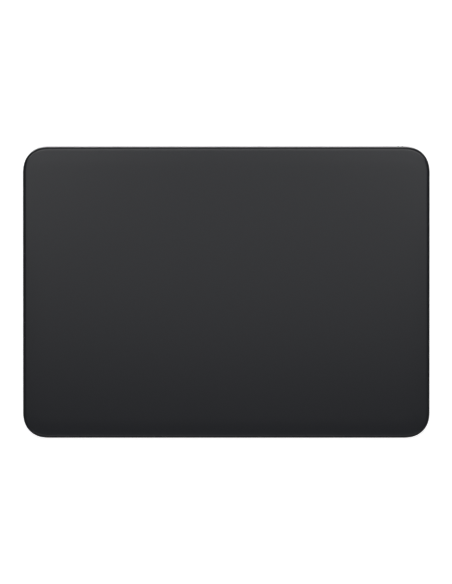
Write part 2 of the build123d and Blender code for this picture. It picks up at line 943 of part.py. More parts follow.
def build_parts():
    """Every sub-part by its name."""
    parts = {
        "housing": housing(),
        "bottom_cover": bottom_cover(),
        "cover_adhesive": cover_adhesive(),
        "touch_glass": touch_glass(),
        "sensor_adhesive": layer(layer_outline(), glass_thickness, glue_thickness),
        "sensor_board": layer(layer_outline(), sensor_depth, sensor_thickness),
        "stiffener_plate": stiffener_plate(),
        "touch_controller": touch_controller(),
        "touch_connector": touch_connector(),
        "touch_flex": touch_flex(),
        "armature_bar_left": armature_bar(-1),
        "armature_bar_right": armature_bar(1),
        "plate_screws": group(plate_screws()),
        "flexure_screws": screws(flexure_thickness, flexure_screw_places()),
        "strain_gauges": group(strain_gauges()),
        "gauge_flex": gauge_flex(),
        "actuator_bracket": actuator_bracket(),
        "actuator_core_left": actuator_core(-1),
        "actuator_core_right": actuator_core(1),
        "actuator_screws": screws(bracket_thickness, motor_screw_places()),
        "battery_cell": battery_cell(),
        "battery_board": battery_board(),
        "battery_flex": battery_flex(),
        "main_board": main_board(),
        "board_screws": screws(board_thickness, post_places()),
        "board_chips": group(board_chips()),
        "board_connector": board_connector(),
        "shield_can": shield_can(),
        "usb_shell": usb_shell(),
        "usb_tongue": usb_tongue(),
        "switch_slider": switch_slider(),
        "switch_lever": switch_lever(),
        "switch_body": switch_body(),
        "switch_guide": switch_guide(),
        "switch_marker": switch_marker(),
        "antenna": antenna(),
        "antenna_cable": antenna_cable(),
    }
    for name, place in foot_places().items():
        parts["foot_" + name] = place * foot()
    for name, (side, v) in corners.items():
        parts["flexure_" + name] = flexure(side, v)
        parts["isolator_pad_" + name] = beam_place(side, v, button_offset(), pad_depth) * isolator_pad()
        parts["load_button_" + name] = beam_place(side, v, button_offset(), stack_depth) * load_button()
    for side_name, side in (("left", -1), ("right", 1)):
        for place_name, offset in zip(("front", "middle", "rear"), tooth_offsets()):
            parts["coil_" + side_name + "_" + place_name] = coil(side, offset)
    return parts


os.makedirs("parts", exist_ok=True)
for part_name, shape in build_parts().items():
    export_step(shape, "parts/" + part_name + ".step")
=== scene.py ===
from math import asin, cos, pi, radians, sin, tan

import bmesh
import bpy
from mathutils import Matrix, Vector


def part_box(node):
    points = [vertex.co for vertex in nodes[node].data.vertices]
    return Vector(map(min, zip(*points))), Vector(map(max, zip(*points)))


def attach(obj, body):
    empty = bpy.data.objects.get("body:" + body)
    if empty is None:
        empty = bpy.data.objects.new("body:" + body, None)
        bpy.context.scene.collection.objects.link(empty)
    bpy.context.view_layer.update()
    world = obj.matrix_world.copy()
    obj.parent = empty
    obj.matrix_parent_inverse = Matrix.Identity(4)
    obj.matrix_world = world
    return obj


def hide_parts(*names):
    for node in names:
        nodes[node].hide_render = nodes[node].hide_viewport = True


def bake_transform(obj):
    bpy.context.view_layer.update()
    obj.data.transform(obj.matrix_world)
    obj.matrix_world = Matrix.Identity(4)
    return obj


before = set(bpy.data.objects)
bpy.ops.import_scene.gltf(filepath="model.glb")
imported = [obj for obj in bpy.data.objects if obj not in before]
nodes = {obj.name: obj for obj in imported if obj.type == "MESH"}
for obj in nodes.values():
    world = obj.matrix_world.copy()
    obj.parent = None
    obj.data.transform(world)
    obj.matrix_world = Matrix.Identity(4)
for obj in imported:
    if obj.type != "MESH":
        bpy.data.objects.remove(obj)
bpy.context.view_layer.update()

mm = 0.001
print("frame loaded:", len(nodes), "parts")

# The wedge: a level underside and a glass top that rises to the rear
body = dict(
    width=160.0, glassLength=114.5, frontHeight=4.9, rearHeight=10.9, footGap=0.4,
    cornerLead=15.0, cornerTight=8.6, cornerTurn=12.0, leadSteps=6, tightSteps=22)

slope = asin((body["rearHeight"] - body["frontHeight"]) / body["glassLength"])
deckY = -(body["rearHeight"] - body["footGap"]) * tan(slope) / 2
deckZ = (body["frontHeight"] + body["rearHeight"]) / 2
deck = Matrix.Translation(Vector((0, deckY, deckZ)) * mm) @ Matrix.Rotation(slope, 4, "X")
level = Matrix.Identity(4)
up, rearward = Vector((0, 0, 1)), Vector((0, 1, 0))
sharpFrom = 32  # degrees between two faces from which their edge stays sharp
hair = 0.001  # mm, less than any real step in height


def at(x, y, z):
    return Matrix.Translation(Vector((x, y, z)) * mm)


# The two corners of a CAD part's box in mm
def boxOf(name):
    low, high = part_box(name)
    return low / mm, high / mm


def verts(items):
    return [item for item in items if isinstance(item, bmesh.types.BMVert)]


def newObject(name, data):
    made = bpy.data.objects.new(name, data)
    bpy.context.scene.collection.objects.link(made)
    return made


def meshOf(bm, name):
    mesh = bpy.data.meshes.new(name)
    bm.to_mesh(mesh)
    bm.free()
    return mesh


def moveBy(bm, points, x, y, z):
    bmesh.ops.translate(bm, verts=points, vec=Vector((x, y, z)) * mm)


def turnBy(bm, degrees, axis):
    bmesh.ops.rotate(bm, cent=(0, 0, 0), matrix=Matrix.Rotation(radians(degrees), 3, axis), verts=bm.verts)


def putAt(bm, place):
    bmesh.ops.transform(bm, matrix=place, verts=bm.verts)


def mergeWithin(bm, reach):
    bmesh.ops.remove_doubles(bm, verts=bm.verts, dist=reach)


def faceOut(bm):
    bmesh.ops.recalc_face_normals(bm, faces=bm.faces)


# A quarter of the outline is swept from one point by three turns, then mirrored twice
def easedOutline(bm, sizeX, sizeY, inset=0.0):
    halfX, halfY = (sizeX / 2 - inset) * mm, (sizeY / 2 - inset) * mm
    lead, tight = (body["cornerLead"] - inset) * mm, (body["cornerTight"] - inset) * mm
    turn = radians(body["cornerTurn"])
    reach = lead * (sin(turn) + 1 - cos(turn)) + tight * (cos(turn) - sin(turn))
    start = bm.verts.new((halfX, 0, 0))
    tip = bm.verts.new((halfX, halfY - reach, 0))
    bm.edges.new((start, tip))
    heading = 0.0
    easing = (lead, turn, body["leadSteps"])
    for radius, angle, count in (easing, (tight, pi / 2 - 2 * turn, body["tightSteps"]), easing):
        centre = tip.co - Vector((cos(heading), sin(heading), 0)) * radius
        swept = bmesh.ops.spin(bm, geom=[tip], cent=centre, axis=(0, 0, 1), dvec=(0, 0, 0), angle=angle,
                steps=count, use_merge=False, use_duplicate=False)
        tip = verts(swept["geom_last"])[0]
        heading += angle
    end = bm.verts.new((0, tip.co.y, 0))
    bm.edges.new((tip, end))
    for axis in ("X", "Y"):
        bmesh.ops.mirror(bm, geom=bm.verts[:] + bm.edges[:], matrix=level, merge_dist=1e-7, axis=axis)
    mergeWithin(bm, 1e-7)
    made = bmesh.ops.contextual_create(bm, geom=bm.edges[:])["faces"][0]
    if made.normal.z < 0:
        made.normal_flip()
    return made


# Bar outline in X and Z with round corners, such as the port's and the slot's
def barOutline(bm, sizeX, sizeZ, corner, segments=8):
    bmesh.ops.create_grid(bm, x_segments=1, y_segments=1, size=0.5)
    bmesh.ops.scale(bm, vec=Vector((sizeX, sizeZ, 1)) * mm, verts=bm.verts)
    turnBy(bm, -90, "X")
    offset = min(corner, 0.4995 * min(sizeX, sizeZ)) * mm  # just short of where two corners meet
    bmesh.ops.bevel(bm, geom=bm.verts[:], offset=offset, offset_type="OFFSET", segments=segments,
            profile=0.5, affect="VERTICES", material=-1)
    mergeWithin(bm, 6e-6)
    return bm.faces[:][0]


# The same outline laid flat, in X and Y
def plateOutline(bm, sizeX, sizeY, corner):
    outline = barOutline(bm, sizeX, sizeY, corner, 6)
    turnBy(bm, 90, "X")
    return outline


def softenEdges(bm, edges, radius, segments=3):
    bmesh.ops.bevel(bm, geom=edges, offset=radius * mm, offset_type="OFFSET", segments=segments,
            profile=0.5, affect="EDGES", material=-1, clamp_overlap=True)


# A box in place, with its edges softened
def addBlock(bm, size, place, soft=0.0, segments=2):
    made = bmesh.ops.create_cube(bm, size=mm, matrix=place @ Matrix.Diagonal((*size, 1)))["verts"]
    if soft:
        softenEdges(bm, list({e for v in made for e in v.link_edges}), soft, segments)


# A round in place, standing along Z, with its rims softened
def addRound(bm, radius, height, place, steps, soft=0.0):
    made = bmesh.ops.create_cone(bm, cap_ends=True, segments=steps, radius1=radius * mm, radius2=radius * mm,
            depth=height * mm, matrix=place)["verts"]
    if soft:
        edges = {e for v in made for e in v.link_edges}
        softenEdges(bm, [e for e in edges if any(len(f.verts) > 4 for f in e.link_faces)], soft, 2)


# Pushes a face or a list of them out along a direction and keeps the shape closed
def thicken(bm, face, move):
    geom = face if isinstance(face, list) else [face]
    made = bmesh.ops.extrude_face_region(bm, geom=geom, use_keep_orig=True)["geom"]
    moveBy(bm, verts(made), *move)
    faceOut(bm)


# Gives a face walls of its own, leaves nothing where it was, and returns the points to move
def sinkFace(bm, face):
    made = bmesh.ops.extrude_face_region(bm, geom=[face])["geom"]
    bmesh.ops.delete(bm, geom=[face], context="FACES_ONLY")
    return verts(made)


# Draws a face in from its edges, and lets it sink or rise on the way
def insetFace(bm, face, width, depth=0.0):
    bmesh.ops.inset_region(bm, faces=[face], thickness=width * mm, depth=depth * mm,
            use_even_offset=True, use_boundary=True)


def widestFace(bm, direction):
    bm.normal_update()
    return max(bm.faces, key=lambda f: f.calc_area() if f.normal.dot(direction) > 0.99 else 0.0)


def softenWhere(bm, test, radius, segments=3):
    softenEdges(bm, [e for e in bm.edges if all(test(v.co) for v in e.verts)], radius, segments)


# Turns a bmesh into a piece that sits at the origin, rides on a body and stands for CAD parts
def makePiece(name, bm, finishNames, slotName, *stands, place=level, onBody="base"):
    putAt(bm, place)
    mesh = meshOf(bm, name)
    mesh.shade_smooth()
    mesh.set_sharp_from_angle(angle=radians(sharpFrom))
    piece = newObject(name, mesh)
    for one in finishNames.split():
        mesh.materials.append(finish[one])
    piece.modifiers.new("evenShading", "WEIGHTED_NORMAL").keep_sharp = True
    if onBody:
        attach(piece, onBody)
    if stands:
        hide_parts(*stands)
    return piece


# Adds one bmesh to another
def joinInto(bm, other):
    held = meshOf(other, "held")
    bm.from_mesh(held)
    bpy.data.meshes.remove(held)


# Cuts shapes out of a mesh that is still being built
def cutAway(bm, cutters):
    holder = newObject("beingCut", meshOf(bm, "beingCut"))
    tools = [newObject("cutter", meshOf(cutter, "cutter")) for cutter in cutters]
    for tool in tools:
        step = holder.modifiers.new("cut", "BOOLEAN")
        step.operation, step.solver, step.object = "DIFFERENCE", "EXACT", tool
    result = bmesh.new()
    result.from_object(holder, bpy.context.evaluated_depsgraph_get())
    for thing in tools + [holder]:
        mesh = thing.data
        bpy.data.objects.remove(thing)
        bpy.data.meshes.remove(mesh)
    mergeWithin(result, 2e-7)
    return result


# Each socket gets a plain value, or a link from another node's socket
def fillSockets(tree, node, sockets):
    for key, value in sockets.items():
        if isinstance(value, bpy.types.NodeSocket):
            tree.links.new(value, node.inputs[key])
        else:
            node.inputs[key].default_value = value


def addNode(tree, kind, sockets=None, **settings):
    node = tree.nodes.new("ShaderNode" + kind)
    for key, value in settings.items():
        setattr(node, key, value)
    fillSockets(tree, node, sockets or {})
    return node


def mathNode(tree, operation, *values, clamp=False):
    node = addNode(tree, "Math", dict(enumerate(values)), operation=operation, use_clamp=clamp)
    return node.outputs[0]


# A place turned about Z by some degrees
def turned(tree, place, turn, **sockets):
    return addNode(tree, "Mapping", dict(Vector=place, Rotation=(0, 0, radians(turn)), **sockets)).outputs[0]


def opaque(color):
    return (*color, 1.0) if isinstance(color, tuple) else color


def mixColor(tree, factor, first, second):
    colors = {"Factor": factor, 6: opaque(first), 7: opaque(second)}
    return addNode(tree, "Mix", colors, data_type="RGBA").outputs[2]


def newGroup(name, *results, **values):
    tree = bpy.data.node_groups.new(name, "ShaderNodeTree")
    tree.interface.new_socket("Vector", in_out="INPUT", socket_type="NodeSocketVector")
    for label, value in values.items():
        tree.interface.new_socket(label, in_out="INPUT", socket_type="NodeSocketFloat").default_value = value
    for label in results:
        tree.interface.new_socket(label, in_out="OUTPUT", socket_type="NodeSocketFloat")
    return tree, tree.nodes.new("NodeGroupInput").outputs


def endGroup(tree, **results):
    fillSockets(tree, tree.nodes.new("NodeGroupOutput"), results)
    return tree


# Fine isotropic grain, such as blasted metal, etched glass or moulded plastic
grainLook = dict(noise=dict(Detail=3.0, Roughness=0.6), coarseScale=0.28)


def buildGrainGroup():
    tree, given = newGroup("fineGrain", "Height", Grain=0.0001, Coarse=0.3)
    scale = mathNode(tree, "DIVIDE", 1.0, given["Grain"])
    coarseScale = mathNode(tree, "MULTIPLY", scale, grainLook["coarseScale"])
    fine = addNode(tree, "TexNoise", dict(Vector=given["Vector"], Scale=scale, **grainLook["noise"])).outputs["Fac"]
    sockets = dict(Vector=given["Vector"], Scale=coarseScale)
    coarse = addNode(tree, "TexVoronoi", sockets, feature="SMOOTH_F1").outputs["Distance"]
    mix = addNode(tree, "Mix", dict(Factor=given["Coarse"], A=fine, B=coarse), data_type="FLOAT")
    return endGroup(tree, Height=mix.outputs["Result"])


# Slow changes from handling: rubbed areas, and slightly oily ones that are drawn out along one direction
rubLook = dict(noise=dict(Detail=4.0, Roughness=0.55, Distortion=0.4), contrast=1.6, start=-0.3)
smearLook = dict(noise=dict(Detail=5.0, Roughness=0.6), scale=3.5, stretch=(1.0, 0.25, 1.0), turn=24)


def buildHandlingGroup():
    tree, given = newGroup("handling", "Rub", "Smear", Patch=0.03)
    scale = mathNode(tree, "DIVIDE", 1.0, given["Patch"])
    rub = addNode(tree, "TexNoise", dict(Vector=given["Vector"], Scale=scale, **rubLook["noise"]))
    drawn = turned(tree, given["Vector"], smearLook["turn"], Scale=smearLook["stretch"])
    smearScale = mathNode(tree, "MULTIPLY", scale, smearLook["scale"])
    smear = addNode(tree, "TexNoise", dict(Vector=drawn, Scale=smearScale, **smearLook["noise"]))
    return endGroup(tree, Rub=rub.outputs["Fac"], Smear=smear.outputs["Fac"])


# Even ridges across X, such as windings, laminations or the tracks of a ribbon
ridgeLook = dict(gapEdge=12.0)


def buildRidgeGroup():
    tree, given = newGroup("ridges", "Height", "Gap", Pitch=0.0003, Share=0.3)
    split = addNode(tree, "SeparateXYZ", {0: given["Vector"]})
    share = mathNode(tree, "FRACT", mathNode(tree, "DIVIDE", split.outputs["X"], given["Pitch"]))
    away = mathNode(tree, "ABSOLUTE", mathNode(tree, "MULTIPLY_ADD", share, 2.0, -1.0))
    height = mathNode(tree, "SUBTRACT", 1.0, mathNode(tree, "MULTIPLY", away, away))
    past = mathNode(tree, "SUBTRACT", away, mathNode(tree, "SUBTRACT", 1.0, given["Share"]))
    return endGroup(tree, Height=mathNode(tree, "SQRT", height, clamp=True),
            Gap=mathNode(tree, "MULTIPLY", past, ridgeLook["gapEdge"], clamp=True))


# Copper tracks and plated holes under the mask of a circuit board
trackLook = dict(
    layers=((0, 1.0), (90, 0.45)), rise=1.5, holeScale=0.55, holeSpread=0.75, holeRadius=0.13,
    holeEdge=40.0, rows=dict(offset=0.37, squash=0.6, squash_frequency=3),
    bricks={"Mortar Size": 0.055, "Mortar Smooth": 0.05, "Brick Width": 3.7, "Row Height": 0.8})


def buildTrackGroup():
    tree, given = newGroup("boardTracks", "Track", "Hole", Pitch=0.0012)
    scale = mathNode(tree, "DIVIDE", 1.0, given["Pitch"])
    layers = []
    for turn, share in trackLook["layers"]:
        wide = mathNode(tree, "MULTIPLY", scale, share)
        sockets = dict(Vector=turned(tree, given["Vector"], turn), Scale=wide, **trackLook["bricks"])
        layers.append(addNode(tree, "TexBrick", sockets, **trackLook["rows"]).outputs["Fac"])
    holeScale = mathNode(tree, "MULTIPLY", scale, trackLook["holeScale"])
    sockets = dict(Vector=given["Vector"], Scale=holeScale, Randomness=trackLook["holeSpread"])
    away = addNode(tree, "TexVoronoi", sockets).outputs["Distance"]
    within = mathNode(tree, "SUBTRACT", trackLook["holeRadius"], away)
    return endGroup(tree, Track=mathNode(tree, "MAXIMUM", *layers),
            Hole=mathNode(tree, "MULTIPLY", within, trackLook["holeEdge"], clamp=True))


grainGroup, handlingGroup = buildGrainGroup(), buildHandlingGroup()
ridgeGroup, trackGroup = buildRidgeGroup(), buildTrackGroup()


def placeGroup(tree, group, **sockets):
    return addNode(tree, "Group", sockets, node_tree=group).outputs


# What a finish has where its recipe says nothing
usual = dict(
    metallic=0.0, ior=1.5, coat=0.0, coatRough=0.1, coarse=0.3, patch=30.0, spread=0.06,
    strength=0.5)


# A finish: plain values on the shader, with grain and handling that vary over the surface
def newFinish(name, recipe):
    recipe = {**usual, **recipe}
    material = bpy.data.materials.new(name)
    material.use_nodes = True
    tree = material.node_tree
    place = addNode(tree, "TexCoord").outputs["Object"]
    grain = placeGroup(tree, grainGroup, Vector=place, Grain=recipe["grain"] * mm, Coarse=recipe["coarse"])
    handling = placeGroup(tree, handlingGroup, Vector=place, Patch=recipe["patch"] * mm)
    rubbed = mathNode(tree, "MULTIPLY_ADD", handling["Rub"], rubLook["contrast"], rubLook["start"], clamp=True)
    color = mixColor(tree, rubbed, *recipe["colors"])
    height, metallic, spread = grain["Height"], recipe["metallic"], recipe["spread"]
    if "ridges" in recipe:
        color, height = addRidges(tree, place, recipe["ridges"], color, height)
    if "tracks" in recipe:
        color, height, metallic = addTracks(tree, place, recipe["tracks"], color, height)
    rough = mathNode(tree, "MULTIPLY_ADD", handling["Smear"], spread, recipe["rough"] - spread / 2)
    bump = addNode(tree, "Bump", dict(Strength=recipe["strength"], Distance=recipe["bump"] * mm, Height=height))
    fillSockets(tree, tree.nodes["Principled BSDF"], {
            "Base Color": color, "Metallic": metallic, "Roughness": rough, "Normal": bump.outputs["Normal"],
            "IOR": recipe["ior"], "Coat Weight": recipe["coat"], "Coat Roughness": recipe["coatRough"]})
    return material


def addRidges(tree, place, ridges, color, height):
    place = turned(tree, place, ridges.get("turn", 0))
    group = placeGroup(tree, ridgeGroup, Vector=place, Pitch=ridges["pitch"] * mm, Share=ridges["share"])
    raised = mathNode(tree, "MULTIPLY_ADD", group["Height"], ridges["rise"], height)
    return mixColor(tree, group["Gap"], color, ridges["gap"]), raised


def addTracks(tree, place, tracks, color, height):
    group = placeGroup(tree, trackGroup, Vector=place, Pitch=tracks["pitch"] * mm)
    color = mixColor(tree, group["Track"], color, tracks["track"])
    color = mixColor(tree, group["Hole"], color, tracks["hole"])
    return color, mathNode(tree, "MULTIPLY_ADD", group["Track"], trackLook["rise"], height), group["Hole"]


# Sizes in mm: grain and patch across, bump and ridges by their height and pitch
finishes = dict(
    etchedBlackGlass=dict(colors=((0.0046, 0.006, 0.0098), (0.0056, 0.007, 0.0108)), rough=0.235, spread=0.02,
        grain=0.05, bump=0.0015, strength=0.35, patch=38),
    groundGlassEdge=dict(colors=((0.0035, 0.0042, 0.006), (0.0035, 0.0042, 0.006)), rough=0.28, grain=0.03,
        bump=0.001, patch=9),
    blastedAluminium=dict(colors=((0.78, 0.785, 0.8), (0.74, 0.745, 0.76)), metallic=1, rough=0.4, spread=0.07,
        grain=0.13, coarse=0.45, bump=0.02, strength=0.9, patch=24),
    paleCover=dict(colors=((0.6, 0.605, 0.615), (0.57, 0.575, 0.585)), rough=0.52, grain=0.14, coarse=0.5,
        bump=0.012, patch=20),
    softRubber=dict(colors=((0.42, 0.425, 0.43), (0.38, 0.385, 0.39)), rough=0.72, grain=0.16, coarse=0.5, bump=0.02,
        patch=5),
    stampedSteel=dict(colors=((0.56, 0.55, 0.53), (0.5, 0.49, 0.475)), metallic=1, rough=0.28, grain=0.08,
        bump=0.003, patch=3),
    blackMoulding=dict(colors=((0.012, 0.012, 0.013), (0.018, 0.018, 0.019)), rough=0.45, grain=0.09, bump=0.006,
        patch=4),
    goldContact=dict(colors=((0.85, 0.6, 0.26), (0.78, 0.53, 0.22)), metallic=1, rough=0.22, grain=0.04, bump=0.001,
        patch=1),
    silverSlider=dict(colors=((0.62, 0.625, 0.635), (0.58, 0.585, 0.6)), metallic=0.9, rough=0.38, grain=0.07,
        bump=0.004, patch=2),
    clearGlue=dict(colors=((0.62, 0.61, 0.57), (0.55, 0.54, 0.5)), rough=0.34, grain=0.5, bump=0.01, patch=6),
    sensorMask=dict(colors=((0.012, 0.045, 0.025), (0.01, 0.036, 0.02)), rough=0.38, grain=0.1, bump=0.004,
        tracks=dict(pitch=4.2, track=(0.1, 0.16, 0.05), hole=(0.72, 0.5, 0.22))),
    boardMask=dict(colors=((0.01, 0.012, 0.014), (0.014, 0.016, 0.018)), rough=0.36, grain=0.1, bump=0.005,
        tracks=dict(pitch=1, track=(0.035, 0.04, 0.042), hole=(0.78, 0.55, 0.24))),
    brushedPlate=dict(colors=((0.66, 0.665, 0.68), (0.6, 0.605, 0.62)), metallic=1, rough=0.36, grain=0.12,
        bump=0.004, ridges=dict(pitch=0.23, gap=(0.56, 0.565, 0.58), share=0.2, rise=0.4)),
    springSteel=dict(colors=((0.52, 0.51, 0.49), (0.46, 0.44, 0.41)), metallic=1, rough=0.27, grain=0.1, bump=0.003,
        ridges=dict(pitch=0.15, turn=90, gap=(0.44, 0.43, 0.41), share=0.2, rise=0.4)),
    screwSteel=dict(colors=((0.5, 0.49, 0.47), (0.42, 0.41, 0.395)), metallic=1, rough=0.25, grain=0.06, bump=0.002,
        patch=1.5),
    laminatedIron=dict(colors=((0.34, 0.33, 0.32), (0.28, 0.27, 0.26)), metallic=1, rough=0.42, grain=0.1, bump=0.02,
        ridges=dict(pitch=0.35, turn=90, gap=(0.08, 0.075, 0.07), share=0.22, rise=2)),
    platedSteel=dict(colors=((0.6, 0.6, 0.58), (0.5, 0.505, 0.5)), metallic=1, rough=0.33, grain=0.6, coarse=0.8,
        bump=0.006, patch=5),
    copperWindings=dict(colors=((0.62, 0.23, 0.09), (0.52, 0.17, 0.06)), metallic=0.85, rough=0.26, grain=0.1,
        bump=0.05, coat=0.6, ridges=dict(pitch=0.16, gap=(0.16, 0.05, 0.02), share=0.25, rise=1.5)),
    gelPad=dict(colors=((0.34, 0.38, 0.44), (0.3, 0.34, 0.4)), rough=0.5, grain=0.25, bump=0.01, patch=3),
    cellPouch=dict(colors=((0.42, 0.425, 0.43), (0.34, 0.345, 0.35)), metallic=0.7, rough=0.34, grain=2.2,
        coarse=0.7, bump=0.05, patch=14),
    ribbonFilm=dict(colors=((0.34, 0.13, 0.025), (0.28, 0.1, 0.02)), rough=0.3, grain=0.1, bump=0.01,
        ridges=dict(pitch=0.5, gap=(0.2, 0.07, 0.012), share=0.45, rise=0.6)),
    gaugeFoil=dict(colors=((0.46, 0.24, 0.06), (0.4, 0.2, 0.05)), rough=0.3, grain=0.08, bump=0.006,
        ridges=dict(pitch=0.22, turn=90, gap=(0.1, 0.09, 0.08), share=0.4, rise=0.5)),
    amberTape=dict(colors=((0.52, 0.25, 0.04), (0.46, 0.21, 0.035)), rough=0.32, grain=0.35, bump=0.004, patch=4,
        coat=0.3),
    brownCeramic=dict(colors=((0.2, 0.13, 0.08), (0.13, 0.1, 0.08)), rough=0.45, grain=0.05, bump=0.003, patch=1.2),
    chipEpoxy=dict(colors=((0.015, 0.015, 0.016), (0.02, 0.02, 0.021)), rough=0.5, grain=0.08, bump=0.006, patch=3),
    connectorPlastic=dict(colors=((0.025, 0.025, 0.027), (0.03, 0.03, 0.032)), rough=0.42, grain=0.1, bump=0.01,
        ridges=dict(pitch=0.4, gap=(0.42, 0.33, 0.16), share=0.28, rise=0.5)),
    tinnedShield=dict(colors=((0.63, 0.63, 0.615), (0.55, 0.55, 0.54)), metallic=1, rough=0.3, grain=0.4, coarse=0.6,
        bump=0.004, patch=6),
    antennaPlastic=dict(colors=((0.03, 0.03, 0.032), (0.036, 0.036, 0.038)), rough=0.5, grain=0.12, bump=0.008,
        tracks=dict(pitch=2.6, track=(0.62, 0.44, 0.2), hole=(0.72, 0.52, 0.24))),
    greenStrip=dict(colors=((0.03, 0.42, 0.1), (0.025, 0.36, 0.085)), rough=0.4, grain=0.06, bump=0.002, patch=1.5),
)
finish = {name: newFinish(name, recipe) for name, recipe in finishes.items()}
print("finishes ready:", len(finish))

# The glass: flat in the middle, falling very slightly towards its rim, with a facet that rounds into the top
# The rings and the facet together stay narrower than the tight corner
glass = dict(
    thickness=1.0, facetWidth=0.92, facetDrop=0.47, facetSoft=0.34, edgeSoft=0.05, lowerCut=0.08,
    roll=((1.5, 0.012), (2.4, 0.070), (2.6, 0.020)))  # width and fall of each ring, from the rim inwards


def buildGlass():
    bm = bmesh.new()
    outline = easedOutline(bm, body["width"], body["glassLength"])
    moveBy(bm, bm.verts, 0, 0, -glass["thickness"])
    fall = glass["facetDrop"] + sum(drop for ring, drop in glass["roll"])
    thicken(bm, outline, (0, 0, glass["thickness"] - fall))
    for ring, drop in ((glass["facetWidth"], glass["facetDrop"]), *glass["roll"]):
        insetFace(bm, widestFace(bm, up), ring, drop)
    for height, radius, segments in ((glass["facetDrop"] - fall, glass["facetSoft"], 6),
            (-fall, glass["edgeSoft"], 2), (-glass["thickness"], glass["lowerCut"], 2)):
        softenWhere(bm, lambda co: abs(co.z - height * mm) < 1e-6, radius, segments)
    for face in bm.faces:
        face.material_index = 0 if face.normal.z > 0.9 else 1
    makePiece("glass_plate", bm, "etchedBlackGlass groundGlassEdge", "black_glass", "touch_glass",
            place=deck, onBody="touch_plate")


buildGlass()
print("glass built")

# Where the load beams, the motor and the main board are held: along the glass from its middle, and below its top
mounts = dict(
    beamRows=(-35.95, 21.95), bossU=74.0, beamScrew=(72.0, 4.0, 2.7), buttonScrew=(58.5, 3.1),
    motorV=-19.52, motorScrew=(35.4, 9.4, 3.8417), motorSeat=4.2417,
    postsX=(-11.5, -11.5, 22.0, 68.4), postFront=5.9, postRear=3.0)
beamPlaces = [(side, v) for side in (-1, 1) for v in mounts["beamRows"]]
motorU, motorApart, motorDepth = mounts["motorScrew"]
motorPlaces = [(side * motorU, mounts["motorV"] + end * motorApart) for side in (-1, 1) for end in (-1, 1)]
boardFront, boardRear = (corner.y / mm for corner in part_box("main_board"))
postsY = (boardFront + mounts["postFront"], *[boardRear - mounts["postRear"]] * 2, boardFront + mounts["postFront"])
postPlaces = list(zip(mounts["postsX"], postsY))

# The tray: walls square to the glass, a level floor, port and switch openings with broken edges
tray = dict(
    rimDepth=1.3, wall=1.6, floorTop=1.5, recessTop=1.0, recessRim=2.4, bottomRound=0.5, rimSoft=0.12,
    portHole=(9.24, 3.46), portFlare=0.2, slotSize=(5.6, 2.4), slotCorner=0.6, slotFlare=0.12,
    slotFromSide=12.5, cutRun=6.0, flareRun=1.5, beamBoss=(10.2, 14.0), beamSeat=3.1, bossSoft=0.15,
    postRadius=2.1, postSoft=0.1, sunk=0.1)
portLow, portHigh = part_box("usb_shell")
portHeight = (portLow.z + portHigh.z) / 2 / mm
portMouth = portHigh.y / mm
slotU = body["width"] / 2 - tray["slotFromSide"]
slotDepth = (body["rearHeight"] - portHeight) / cos(slope)
rearEdge = body["glassLength"] / 2


# A place at the height of the port and the slot, across and along the glass
def atWall(u, v):
    return deck @ at(u, v, -slotDepth)


# Lays points of the glass plane onto a level plane, straight down the walls
def ontoLevel(bm, points, height):
    drop = Matrix.Identity(4)
    drop[2][1], drop[2][2], drop[2][3] = -tan(slope), 0.0, (height - deckZ) / cos(slope) * mm
    bmesh.ops.transform(bm, matrix=drop, verts=points)


# A bar to cut an opening with, or with a flare a short one that narrows inwards
def barCutter(size, corner, run, place, flare=0.0):
    bm = bmesh.new()
    thicken(bm, barOutline(bm, size[0] + 2 * flare, size[1] + 2 * flare, corner + flare), (0, run, 0))
    if flare:
        insetFace(bm, widestFace(bm, -rearward), flare, flare)
    putAt(bm, place)
    return bm


def buildTray():
    bm = bmesh.new()
    rim = easedOutline(bm, body["width"], body["glassLength"])
    made = bmesh.ops.extrude_face_region(bm, geom=[rim], use_keep_orig=True)["geom"]
    ontoLevel(bm, verts(made), body["footGap"])
    moveBy(bm, rim.verts[:], 0, 0, -tray["rimDepth"])
    faceOut(bm)
    below = Vector((0, -sin(slope), -cos(slope)))
    softenEdges(bm, widestFace(bm, below).edges[:], tray["bottomRound"], 5)
    softenEdges(bm, widestFace(bm, up).edges[:], tray["rimSoft"], 2)
    for side, inset, height in ((below, tray["recessRim"] - tray["bottomRound"], tray["recessTop"]),
            (up, tray["wall"] - tray["rimSoft"], tray["floorTop"])):
        face = widestFace(bm, side)
        insetFace(bm, face, inset)
        ontoLevel(bm, sinkFace(bm, face), height)
    faceOut(bm)
    putAt(bm, deck)
    portHole, slotSize, slotCorner = tray["portHole"], tray["slotSize"], tray["slotCorner"]
    run, short = tray["cutRun"], tray["flareRun"]
    wallAtPort, wallAtSlot = (atWall(u, rearEdge) for u in (0, slotU))
    bm = cutAway(bm, [barCutter(portHole, portHole[1] / 2, run, at(0, portMouth - run / 2, portHeight)),
            barCutter(portHole, portHole[1] / 2, short, wallAtPort, tray["portFlare"]),
            barCutter(slotSize, slotCorner, run, wallAtSlot @ at(0, -run / 2, 0)),
            barCutter(slotSize, slotCorner, short, wallAtSlot, tray["slotFlare"])])
    for side, v in beamPlaces:
        addBeamBoss(bm, side, v)
    addPosts(bm)
    makePiece("tray", bm, "blastedAluminium", "silver_aluminium", "housing")


def addBeamBoss(bm, side, v):
    place = at(side * mounts["bossU"], v, 0) @ Matrix.Diagonal((*tray["beamBoss"], 1, 1))
    boss = bmesh.ops.create_cube(bm, size=mm, matrix=place)["verts"]
    upper = [p for p in boss if p.co.z > 0]
    ontoLevel(bm, [p for p in boss if p.co.z < 0], tray["floorTop"] - tray["sunk"])
    for p in upper:
        p.co.z = -tray["beamSeat"] * mm
    edges = list({e for p in upper for e in p.link_edges})
    bmesh.ops.transform(bm, matrix=deck, verts=boss)
    softenEdges(bm, edges, tray["bossSoft"], 2)


